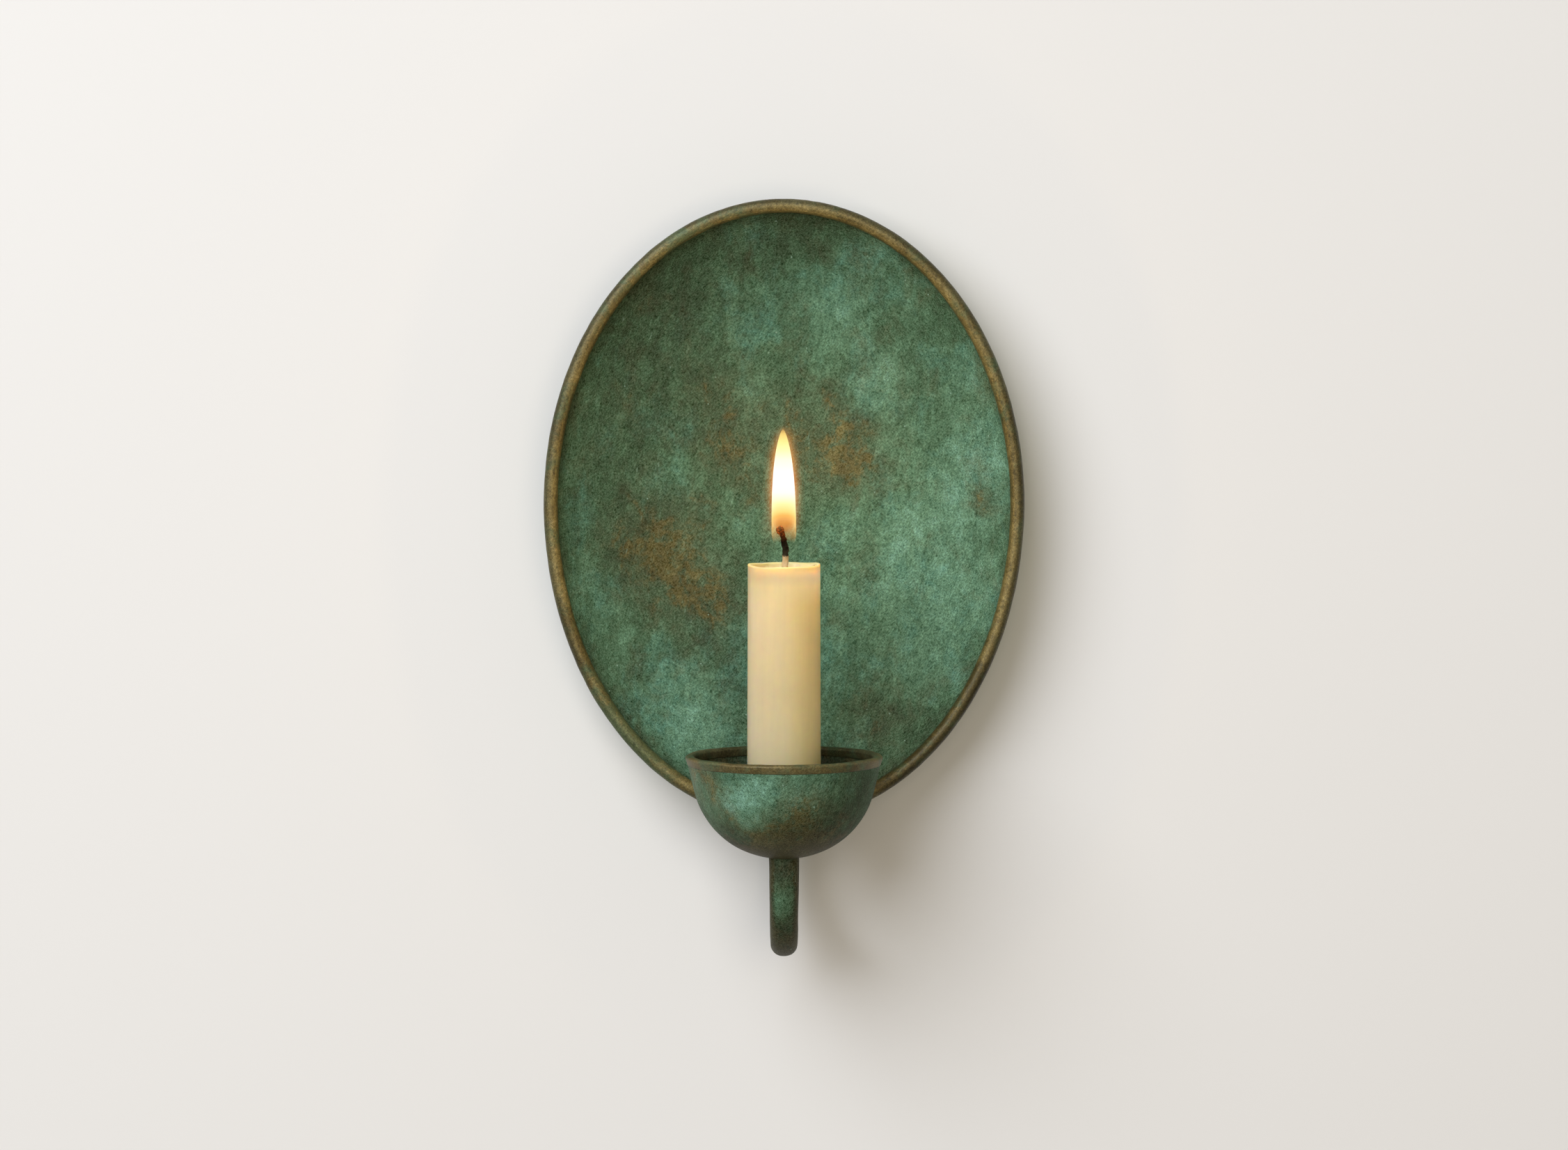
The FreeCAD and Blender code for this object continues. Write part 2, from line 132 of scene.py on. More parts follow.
def skin(name, rings, looped=False, values=None, sharp=50):
    """A smooth closed mesh through rings of points. Open ends are closed with a fan.

    values gives each ring a number, or a number to each of its points, kept as the attribute "along".
    """
    count = len(rings[0])
    points = [p for ring in rings for p in ring]
    along = []
    for value in values or [0.0] * len(rings):
        along += value if isinstance(value, list) else [value] * count
    faces = []
    spans = len(rings) if looped else len(rings) - 1
    for i in range(spans):
        here, there = i * count, (i + 1) % len(rings) * count
        for j in range(count):
            k = (j + 1) % count
            faces.append((here + j, here + k, there + k, there + j))
    if not looped:
        for ring, start, turn in ((rings[0], 0, -1), (rings[-1], (len(rings) - 1) * count, 1)):
            centre = sum(ring, Vector()) / count
            points.append(centre)
            along.append(along[start])
            for j in range(count):
                pair = (start + j, start + (j + 1) % count)
                faces.append((*pair[::turn], len(points) - 1))
    mesh = bpy.data.meshes.new(name)
    mesh.from_pydata([tuple(p) for p in points], [], faces)
    mesh.attributes.new("along", "FLOAT", "POINT").data.foreach_set("value", along)
    mesh.validate()
    made_outward(mesh)
    mesh.shade_smooth()
    mesh.set_sharp_from_angle(angle=math.radians(sharp))
    piece = bpy.data.objects.new(name, mesh)
    bpy.context.scene.collection.objects.link(piece)
    return piece


def made_outward(mesh):
    """Turns the faces of a closed mesh so that they all look outwards."""
    volume = 0.0
    for face in mesh.polygons:
        a = mesh.vertices[face.vertices[0]].co
        for i in range(1, len(face.vertices) - 1):
            b = mesh.vertices[face.vertices[i]].co
            c = mesh.vertices[face.vertices[i + 1]].co
            volume += a.dot(b.cross(c))
    if volume < 0:
        mesh.flip_normals()


def turned_rings(profile, axis_y, count, stir=None):
    """Rings about the upright axis at y = axis_y. The profile is (radius, height) points."""
    rings = []
    for radius, height in profile:
        ring = []
        for j in range(count):
            turn = 2 * math.pi * j / count
            point = Vector((radius * math.cos(turn), axis_y + radius * math.sin(turn), height))
            ring.append(stir(point, turn) if stir else point)
        rings.append(ring)
    return rings


def arc(centre, radius, start, end, steps):
    """Points on an arc of a (radius, height) profile, with angles in radians from the radius axis."""
    points = []
    for i in range(steps + 1):
        angle = start + (end - start) * i / steps
        points.append((centre[0] + radius * math.cos(angle), centre[1] + radius * math.sin(angle)))
    return points


def between(start, end, share):
    """The value that far from start to end."""
    return start + (end - start) * share


def finished(piece, material, slot, body, *nodes):
    """Gives a piece its material, puts it on its body, and hides the CAD nodes it stands for. Its slot is
    not used.
    """
    piece.data.materials.append(material)
    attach(piece, body)
    if nodes:
        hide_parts(*nodes)
    return piece


# ---------------------------------------------------------------- node helpers
class Nodes:
    """A material's node tree, with short calls for the nodes used here. Lengths are in millimetres."""

    def __init__(self, name):
        self.material = bpy.data.materials.new(name)
        self.material.use_nodes = True
        self.tree = self.material.node_tree
        self.shader = self.tree.nodes["Principled BSDF"]

    def add(self, kind, **settings):
        node = self.tree.nodes.new(kind)
        for key, value in settings.items():
            setattr(node, key, value)
        return node

    def put(self, socket, value):
        """Links another socket, or sets a plain value."""
        if isinstance(value, bpy.types.NodeSocket):
            self.tree.links.new(value, socket)
        else:
            socket.default_value = value

    def set(self, **values):
        """Sets the shader's inputs by name, with _ for a space."""
        for key, value in values.items():
            self.put(self.shader.inputs[key.replace("_", " ")], value)

    def math(self, operation, a, b=0.0, c=0.0, clamp=False):
        node = self.add("ShaderNodeMath", operation=operation, use_clamp=clamp)
        for socket, value in zip(node.inputs, (a, b, c)):
            self.put(socket, value)
        return node.outputs[0]

    def total(self, *weighted):
        """The sum of (value, weight) pairs."""
        result = 0.0
        for value, weight in weighted:
            result = self.math("ADD", self.math("MULTIPLY", value, weight), result)
        return result

    def vector(self, operation, a, b):
        node = self.add("ShaderNodeVectorMath", operation=operation)
        self.put(node.inputs[0], a)
        self.put(node.inputs[1], b)
        return node.outputs["Value"] if operation == "DISTANCE" else node.outputs["Vector"]

    def place(self, shift=(0, 0, 0), turn=(0, 0, 0), stretch=(1, 1, 1)):
        """The point on the object in millimetres, shifted, turned by degrees and then stretched."""
        node = self.add("ShaderNodeMapping", vector_type="TEXTURE")
        self.put(node.inputs["Vector"], self.add("ShaderNodeTexCoord").outputs["Object"])
        node.inputs["Location"].default_value = [s * MM for s in shift]
        node.inputs["Rotation"].default_value = [math.radians(t) for t in turn]
        node.inputs["Scale"].default_value = [s * MM for s in stretch]
        return node.outputs["Vector"]

    def noise(self, place, size, detail=3.0, rough=0.5, warp=0.0):
        node = self.add("ShaderNodeTexNoise")
        self.put(node.inputs["Vector"], place)
        settings = {"Scale": 1 / size, "Detail": detail, "Roughness": rough, "Distortion": warp}
        for key, value in settings.items():
            node.inputs[key].default_value = value
        return node.outputs["Fac"]

    def warped(self, place, size, amount):
        """The place, pushed about by up to that many millimetres."""
        node = self.add("ShaderNodeTexNoise")
        self.put(node.inputs["Vector"], place)
        node.inputs["Scale"].default_value = 1 / size
        node.inputs["Detail"].default_value = 3.0
        centred = self.vector("SUBTRACT", node.outputs["Color"], (0.5, 0.5, 0.5))
        return self.vector("ADD", place, self.vector("MULTIPLY", centred, (2 * amount,) * 3))

    def span(self, value, low, high, to_low=0.0, to_high=1.0, smooth=False):
        node = self.add("ShaderNodeMapRange", interpolation_type="SMOOTHSTEP" if smooth else "LINEAR")
        self.put(node.inputs["Value"], value)
        for key, number in (("From Min", low), ("From Max", high), ("To Min", to_low), ("To Max", to_high)):
            node.inputs[key].default_value = number
        return node.outputs["Result"]

    def ramp(self, value, stops):
        """A colour by value. Each stop is (position, (r, g, b))."""
        node = self.add("ShaderNodeValToRGB")
        elements = node.color_ramp.elements
        elements[0].position, elements[1].position = stops[0][0], stops[-1][0]
        for position, _ in stops[1:-1]:
            elements.new(position)
        for element, (position, colour) in zip(elements, stops):
            element.position = position
            element.color = (*colour, 1)
        self.put(node.inputs["Fac"], value)
        return node.outputs["Color"]

    def mix(self, share, a, b, blend="MIX"):
        """A mix of two colours. The node's colour inputs are numbers 6 and 7, and its colour output is 2."""
        node = self.add("ShaderNodeMix", data_type="RGBA", blend_type=blend)
        self.put(node.inputs["Factor"], share)
        self.put(node.inputs[6], (*a, 1) if isinstance(a, tuple) else a)
        self.put(node.inputs[7], (*b, 1) if isinstance(b, tuple) else b)
        return node.outputs[2]

    def tone(self, colour, amount):
        """The colour times a number."""
        node = self.add("ShaderNodeVectorMath", operation="SCALE")
        self.put(node.inputs[0], colour)
        self.put(node.inputs["Scale"], amount)
        return node.outputs[0]

    def specks(self, place, size, radius, rarity):
        """1 in scattered round specks, else 0. size is their spacing, and rarity the share left out."""
        node = self.add("ShaderNodeTexVoronoi")
        self.put(node.inputs["Vector"], place)
        node.inputs["Scale"].default_value = 1 / size
        near = self.span(node.outputs["Distance"], radius, radius * 1.8, 1.0, 0.0)
        split = self.add("ShaderNodeSeparateColor")
        self.put(split.inputs[0], node.outputs["Color"])
        kept = self.math("GREATER_THAN", split.outputs[0], rarity)
        return self.math("MULTIPLY", near, kept)

    def near_patches(self, patches):
        """For each patch, how near the point is, from 0 to 1, and the patch's own numbers.

        The patches have uneven edges, and they go right through the object along Y.
        """
        if not patches:
            return
        flat = self.vector("MULTIPLY", self.warped(self.place(), 10, 8), (1, 0, 1))
        for x, z, radius, *amounts in patches:
            away = self.vector("DISTANCE", flat, (x, 0, z))
            near = self.span(away, radius * 0.1, radius * 1.35, 1.0, 0.0, smooth=True)
            yield near, *amounts

    def along(self):
        return self.add("ShaderNodeAttribute", attribute_name="along").outputs["Fac"]

    def coordinate(self, axis):
        """The point's X, Y or Z in millimetres."""
        node = self.add("ShaderNodeSeparateXYZ")
        self.put(node.inputs[0], self.place())
        return node.outputs[axis]

    def bump(self, height, depth, strength=1.0):
        """Bump of that depth in millimetres."""
        node = self.add("ShaderNodeBump")
        node.inputs["Strength"].default_value = strength
        node.inputs["Distance"].default_value = depth * MM
        self.put(node.inputs["Height"], height)
        self.put(self.shader.inputs["Normal"], node.outputs["Normal"])


# ---------------------------------------------------------------- metal materials
GREEN_DARK = (0.030, 0.056, 0.026)
GREEN_MID = (0.054, 0.108, 0.056)
GREEN_LIGHT = (0.098, 0.192, 0.112)
TEAL_DARK = (0.052, 0.112, 0.074)
TEAL = (0.074, 0.195, 0.140)
TEAL_PALE = (0.180, 0.345, 0.255)
GREEN_LEFT = (0.066, 0.105, 0.048)
OLIVE = (0.066, 0.066, 0.028)
RUST = (0.112, 0.086, 0.023)
SCRUBBED = (0.19, 0.28, 0.21)
SPECK = (0.22, 0.33, 0.25)

# Patches: x, z and radius in millimetres, then how much lighter, browner and more teal.
# On the rim the last two are how much greener, and a zero.
DISH_PATCHES = [
    # These four rows darken the inner wall at the upper left, left and top as painted shade.
    (-44, 66, 36, -0.13, 0.2, -0.3),
    (-60, 25, 22, -0.07, 0.2, -0.2),
    (-58, -8, 26, -0.04, 0.1, -0.1),
    (2, 92, 26, -0.13, 0.1, -0.1),
    (-12, 66, 14, 0.06, 0.0, 0.2),
    (12, 68, 20, 0.08, -0.1, 0.3),
    (-15, 42, 14, 0.05, 0.1, 0.0),
    # The browner rows between z 12 and 30 near the middle, round the flame, are browner patina and partly
    # painted warm light of the flame.
    (-22, 30, 20, -0.01, 0.5, -0.3),
    (-41, -18, 23, -0.02, 1.05, -0.6),
    (-24, -36, 18, -0.04, 0.6, -0.3),
    (-18, 12, 14, 0.0, 0.5, -0.3),
    (9, 20, 24, 0.0, 0.65, -0.4),
    (24, 14, 18, 0.0, 0.5, -0.3),
    # The lighter rows with x from 28 to 71, on the right and lower right, are the patina's tone and partly
    # painted light on the inner wall that faces the lamp.
    (28, -10, 13, 0.06, -0.1, 0.1),
    (28, -38, 14, 0.07, -0.2, 0.1),
    (56, -6, 16, 0.07, -0.2, 0.2),
    (67, -1, 7, -0.06, 0.7, 0.0),
    (32, -74, 12, -0.05, 0.4, -0.2),
    (35, 44, 14, 0.04, 0.1, 0.1),
    (71, 12, 20, 0.05, 0.0, 0.5),
    (54, -28, 22, 0.08, -0.2, 0.4),
    (50, -54, 16, 0.09, -0.1, 0.2),
    (20, -56, 14, 0.02, -0.1, 0.4),
    (-18, -64, 12, -0.07, 0.1, 0.0),
    (-34, -75, 18, 0.07, -0.2, 0.6),
    (-40, 5, 14, 0.02, 0.0, 0.3),
]
BOWL_PATCHES = [
    # The first row is teal patina and partly a painted highlight where the lamp falls.
    (-12, -97, 12, 0.13, -0.3, 0.5),
    (8, -94, 12, 0.04, 0.0, 0.2),
    (-33, -93, 16, 0.13, 0.75, -0.6),
    # These two rows darken the right side and the bottom as painted shade, and make the bottom browner.
    (26, -99, 20, -0.045, 0.3, -0.3),
    (0, -122, 27, -0.17, 2.0, -1.2),
]
ARM_PATCHES = [
    # The first row darkens the underside of the bend as painted shade and makes it browner.
    (0, -156, 17, -0.30, 1.8, -0.9),
    (0, -137, 12, 0.0, 0.1, -0.1),
    # This row is the cup's painted shadow on the arm just under it, and is also browner.
    (0, -121, 10, -0.14, 0.7, -0.5),
]
RIM_PATCHES = [
    # These two rows darken the rim on the right and lower right as painted shade.
    (56, -78, 40, -0.12, 0.0, 0.0),
    (84, 20, 40, -0.04, 0.0, 0.0),
    (-50, -80, 26, 0.08, 0.28, 0.0),
    (-35, 92, 30, 0.02, 0.12, 0.0),
]


def strokes(n, shift, size):
    """A weave of short strokes that cross on the two diagonals, 0 to 1."""
    lays = []
    for turn in (42, -48):
        lay = n.place(shift, turn=(0, turn, 0), stretch=(1, 1, 3.0))
        lays.append(n.noise(lay, size, detail=1.5, rough=0.6))
    return n.total((lays[0], 0.55), (lays[1], 0.45))


def patina(name, shift=(0, 0, 0), patches=(), rust=1.0, shade=0.0, olive=0.0):
    """Verdigris on bronze: brown through green to pale teal, with a fine diagonal grain.

    rust is how red the browns go. Where the piece's "along" is 1, shade darkens it as painted shade
    and olive makes it browner.
    """
    n = Nodes(name)
    place = n.place(shift)
    brushed = n.place(shift, turn=(0, 8, 0), stretch=(1, 1, 1.5))
    scrubbed = n.place(shift, turn=(0, 12, 0), stretch=(1, 1, 5))
    large = n.noise(brushed, 32, detail=3, rough=0.5, warp=0.4)
    middle = n.noise(brushed, 9, detail=7, rough=0.66, warp=0.4)
    small = n.noise(place, 2.4, detail=4, rough=0.75)
    scrub = n.noise(scrubbed, 1.3, detail=4, rough=0.65, warp=0.2)
    flakes = n.noise(n.vector("ADD", brushed, (11, 0, 87)), 5, detail=8, rough=0.68, warp=0.5)
    flakes = n.span(flakes, 0.49, 0.54, -1.0, 1.0)
    level = n.total((large, 0.26), (middle, 0.36), (small, 0.22), (scrub, 0.16), (flakes, 0.024))
    # Painted shade: darker where the piece's "along" is 1, by shade
    level = n.math("MULTIPLY_ADD", n.along(), -shade, level)
    brown = n.noise(n.vector("ADD", brushed, (63, 0, 63)), 11, detail=7, rough=0.70, warp=0.5)
    brown = n.math("MULTIPLY_ADD", n.along(), olive, n.span(brown, 0.48, 0.68, 0.0, 0.65))
    teal = n.noise(n.vector("ADD", brushed, (90, 0, 31)), 13, detail=7, rough=0.66, warp=0.4)
    teal = n.span(teal, 0.48, 0.68)
    for near, lighter, browner, bluer in n.near_patches(patches):
        level = n.math("MULTIPLY_ADD", near, lighter, level)
        brown = n.math("MULTIPLY_ADD", near, browner, brown)
        teal = n.math("MULTIPLY_ADD", near, bluer, teal)
    colour = n.ramp(level, [
        (0.345, GREEN_DARK),
        (0.475, GREEN_MID),
        (0.605, GREEN_LIGHT),
        (0.745, TEAL_PALE),
    ])
    broken = n.span(n.noise(place, 3.4, detail=5, rough=0.72, warp=0.5), 0.36, 0.60)
    teal = n.math("MULTIPLY", teal, n.span(broken, 0, 1, 0.75, 0.25), clamp=True)
    teals = n.ramp(level, [(0.36, TEAL_DARK), (0.5, TEAL), (0.7, TEAL_PALE)])
    colour = n.mix(teal, colour, teals)
    brown = n.math("MULTIPLY", brown, n.span(broken, 0, 1, 0.5, 1.0), clamp=True)
    browns = n.mix(n.span(brown, 0.60, 1.0, 0.0, rust), OLIVE, RUST)
    lit = n.ramp(level, [(0.36, (0.55, 0.55, 0.55)), (0.64, (1.35, 1.35, 1.35))])
    colour = n.mix(n.math("MULTIPLY", brown, 0.85), colour, n.mix(1.0, browns, lit, "MULTIPLY"))
    grain = strokes(n, shift, 0.32)
    colour = n.tone(colour, n.span(grain, 0.33, 0.67, 0.47, 1.65))
    colour = n.vector("ADD", colour, n.span(grain, 0.33, 0.67, -0.020, 0.024))
    colour = n.mix(n.span(scrub, 0.66, 0.76, 0.0, 0.55), colour, SCRUBBED)
    colour = n.mix(n.specks(place, 2.6, 0.07, 0.955), colour, SPECK)
    n.set(Base_Color=colour, Metallic=0.0, Specular_IOR_Level=0.16)
    n.set(Roughness=n.span(brown, 0, 1, 0.75, 0.55))
    n.bump(n.total((middle, 0.3), (small, 0.4), (grain, 0.5)), 0.30, 0.8)
    return n.material


def rubbed_bronze(name, shift=(0, 0, 0), patches=(), green=0.0, bright=1.0, edge=(0.0, 0.9)):
    """Golden-brown bronze where hands and cloths reach, dull olive and green where they don't.

    The piece's "along" says where that is. edge holds where it starts to turn dull, and where it is
    quite dull.
    """
    n = Nodes(name)
    place = n.place(shift)
    large = n.noise(place, 22, detail=3, rough=0.55)
    middle = n.noise(place, 5, detail=5, rough=0.68, warp=0.5)
    grain = n.noise(place, 0.7, detail=3, rough=0.75)
    level = n.total((large, 0.30), (middle, 0.38), (grain, 0.32))
    left = n.noise(n.vector("ADD", place, (40, 0, 0)), 9, detail=6, rough=0.66, warp=0.6)
    left = n.math("ADD", left, green)
    for near, lighter, greener, _ in n.near_patches(patches):
        level = n.math("MULTIPLY_ADD", near, lighter, level)
        left = n.math("MULTIPLY_ADD", near, greener, left)
    golden = n.tone(n.ramp(level, [
        (0.36, (0.066, 0.052, 0.015)),
        (0.46, (0.145, 0.108, 0.034)),
        (0.55, (0.235, 0.180, 0.060)),
        (0.68, (0.400, 0.310, 0.130)),
    ]), bright)
    dull = n.ramp(level, [
        (0.38, (0.034, 0.028, 0.010)),
        (0.50, (0.080, 0.070, 0.027)),
        (0.64, (0.15, 0.135, 0.062)),
    ])
    stray = n.math("MULTIPLY", n.math("SUBTRACT", middle, 0.5), 2.2)
    share = n.span(n.math("ADD", n.along(), stray), edge[0], edge[1], smooth=True)
    colour = n.mix(share, golden, dull)
    colour = n.mix(n.span(left, 0.53, 0.68, 0.0, 0.7), colour, GREEN_LEFT)
    colour = n.tone(colour, n.span(strokes(n, shift, 0.36), 0.32, 0.68, 0.5, 1.55))
    n.set(Base_Color=colour, Metallic=0.4, Specular_IOR_Level=0.4)
    n.set(Roughness=n.span(level, 0.35, 0.65, 0.38, 0.58))
    n.bump(n.total((middle, 0.5), (grain, 0.5)), 0.22, 0.8)
    return n.material


def plain_metal(name, dark, light, metallic, rough, size=5.0, depth=0.08):
    """A mottled, slightly pitted metal for the parts that are out of sight from the front."""
    n = Nodes(name)
    place = n.place()
    mottle = n.noise(place, size, detail=6, rough=0.65, warp=0.3)
    grain = n.noise(place, 0.5, detail=2, rough=0.7)
    level = n.total((mottle, 0.7), (grain, 0.3))
    n.set(Base_Color=n.ramp(level, [(0.38, dark), (0.64, light)]), Metallic=metallic)
    n.set(Roughness=n.span(level, 0.35, 0.65, rough + 0.1, rough - 0.1))
    n.bump(level, depth, 0.7)
    return n.material


# ---------------------------------------------------------------- reflector
# The shares of its radius where the rim rod's painted shade starts on the dish near its edge, and over which
# it deepens
PAINTED_RIM_SHADE_START = 0.93
PAINTED_RIM_SHADE_RUN = 0.05


def dish_rise(share):
    """How far the dish's front has risen from its floor to its rim, 0 to 1, at a share of its radius."""
    def rise(s):
        return 1 - (1 - s**DISH_FLOOR_POWER) ** (1 / DISH_WALL_POWER)
    return rise(share * DISH_CURVE_END) / rise(DISH_CURVE_END)


def egg_point(share, turn, depth):
    """A point of the reflector, at a share of its radius and a depth out from the wall."""
    height = EGG_TOP if math.sin(turn) > 0 else EGG_BOTTOM
    return Vector((EGG_WIDTH * share * math.cos(turn), -depth, height * share * math.sin(turn)))


def reflector_dish():
    """The pressed sheet, front and back, slightly uneven. Its values are 0, and 1 close to the edge, where
    the rim rod's painted shade falls and the patina is a little browner.
    """
    steps, count, edge, middle = 56, 288, 0.992, 0.004
    front, back = [], []
    for i in range(steps + 1):
        share = edge * max(math.sin(math.pi / 2 * i / steps), middle)
        depth = between(FLOOR_DEPTH, RIM_DEPTH, dish_rise(share))
        step = 0.001
        slope = (RIM_DEPTH - FLOOR_DEPTH) * (dish_rise(share) - dish_rise(share - step))
        slope /= EGG_WIDTH * step
        length = math.hypot(1, slope)
        front.append((share, depth))
        back.append((share + SHEET_T * slope / length / EGG_WIDTH, depth - SHEET_T / length))
    rings, values = [], []
    for share, depth in front + back[::-1]:
        calm = min(1.0, (1 - min(share, 1)) * 12)
        values.append(min(max((share - PAINTED_RIM_SHADE_START) / PAINTED_RIM_SHADE_RUN, 0), 1))
        ring = []
        for j in range(count):
            point = egg_point(share, 2 * math.pi * j / count, depth)
            flat = Vector((point.x, 0, point.z))
            dent = 0.28 * wobble(flat, 30 * MM, 3.1) + 0.10 * wobble(flat, 11 * MM, 7.7)
            point.y += dent * calm * MM
            ring.append(point)
        rings.append(ring)
    return skin("Reflector", rings, values=values)


def reflector_rim():
    """The rod round the edge, a little uneven.

    Its values run from -1 on its inner side to 1 on its outer side.
    """
    count, around = 560, 20
    rings = []
    sides = [math.cos(2 * math.pi * j / around) for j in range(around)]
    for i in range(count):
        turn = 2 * math.pi * i / count
        centre = egg_point(1, turn, RIM_DEPTH)
        ahead = egg_point(1, turn + 0.002, RIM_DEPTH) - egg_point(1, turn - 0.002, RIM_DEPTH)
        outward = Vector((0, 1, 0)).cross(ahead).normalized()
        if outward.dot(centre) < 0:
            outward.negate()
        ring = []
        for j in range(around):
            side = 2 * math.pi * j / around
            spoke = outward * math.cos(side) + Vector((0, -1, 0)) * math.sin(side)
            point = centre + spoke * ROD_R
            uneven = 0.10 * wobble(point, 16 * MM, 2.0) + 0.07 * wobble(point, 4 * MM, 5.0)
            ring.append(point + spoke * (uneven - 0.08) * MM)
        rings.append(ring)
    return skin("ReflectorRim", rings, looped=True, values=[sides] * count)


# ---------------------------------------------------------------- cup
def cup_side(inward):
    """The bowl's section, moved inwards, from its foot to its rim ring, as (radius, height) points."""
    base = (0.0, CUP_FOOT + CUP_BASE_R)
    run = CUP_BASE_R - CUP_SIDE_R
    side = (run * math.sin(CUP_BASE_ANGLE), base[1] - run * math.cos(CUP_BASE_ANGLE))
    low = -math.pi / 2
    first = low + math.asin(CUP_HOLE_R / (CUP_BASE_R - inward))
    points = arc(base, CUP_BASE_R - inward, first, low + CUP_BASE_ANGLE, 12)
    points += arc(side, CUP_SIDE_R - inward, low + CUP_BASE_ANGLE, -CUP_SIDE_LEAN, 30)[1:]
    radius, height = points[-1]
    for i in range(1, 7):
        rise = (RING_FOOT - height) * i / 6
        points.append((radius + rise * math.tan(CUP_SIDE_LEAN), height + rise))
    return points


def candle_cup():
    """The bowl. Its values are 0 outside and 1 inside, where it gets painted shade and a browner patina."""
    def stir(point, turn):
        outward = Vector((math.cos(turn), math.sin(turn), 0))
        uneven = 0.16 * wobble(point, 22 * MM, 4.0) + 0.05 * wobble(point, 6 * MM, 1.0)
        calm = min(1.0, (RING_FOOT - point.z) / (3 * MM)) * min(1.0, (point.z - CUP_FOOT) / (6 * MM))
        return point + outward * (uneven * max(calm, 0.0) * MM)

    outside, inside = cup_side(0), cup_side(CUP_T)[::-1]
    values = [0.0] * len(outside) + [1.0] * len(inside)
    rings = turned_rings(outside + inside, AXIS_Y, 200, stir)
    return skin("CandleCup", rings, looped=True, values=values, sharp=60)


def cup_rim_ring():
    """The band round the top of the bowl, with a worn lip. Its values are low where it is rubbed."""
    lean, top_r, foot_r = 0.6 * MM, 1.1 * MM, 0.35 * MM
    quarter = math.pi / 2
    outer, inner = RING_R, RING_INNER_R
    profile = []
    profile += arc((outer - top_r, RING_TOP - top_r), top_r, 0, quarter, 7)
    profile += arc((inner + top_r, RING_TOP - top_r), top_r, quarter, 2 * quarter, 7)
    profile += arc((inner + lean + foot_r, RING_FOOT + foot_r), foot_r, 2 * quarter, 3 * quarter, 4)
    profile += arc((outer - lean - foot_r, RING_FOOT + foot_r), foot_r, 3 * quarter, 4 * quarter, 4)
    values = [0.3, 0.1, -0.2, -0.7, -1.0, -0.8, -0.2, 0.3] + [0.6, 0.8, 0.9, 1.0] + [1.0] * 9 + [0.5] * 5

    def stir(point, turn):
        outward = Vector((math.cos(turn), math.sin(turn), 0))
        high = max(0.0, (point.z - RING_FOOT) / (RING_TOP - RING_FOOT))
        around = outward * RING_R
        point = point + outward * (0.12 * wobble(point, 7 * MM, 9.0) - 0.08) * MM
        worn = 0.16 * wobble(around, 11 * MM, 3.0) + 0.08 * wobble(around, 3 * MM, 6.0) - 0.16
        point.z += worn * high * MM
        return point

    return skin("CupRim", turned_rings(profile, AXIS_Y, 320, stir), looped=True, values=values, sharp=70)


# ---------------------------------------------------------------- arm
# The powers of the superellipse that is its section: 2 is an ellipse, and a larger one is squarer
TANG_POWER = 7.0
ROUND_POWER = 2.0
CUP_END_POWER = 3.2
# How far along its lower limb it starts to swell, from 0 to 1
SWELL_START = 0.45
# Stations over the round top of its tang, and how far the first is below the very top, in stations
TOP_STEPS = 24
TOP_GAP = 0.4


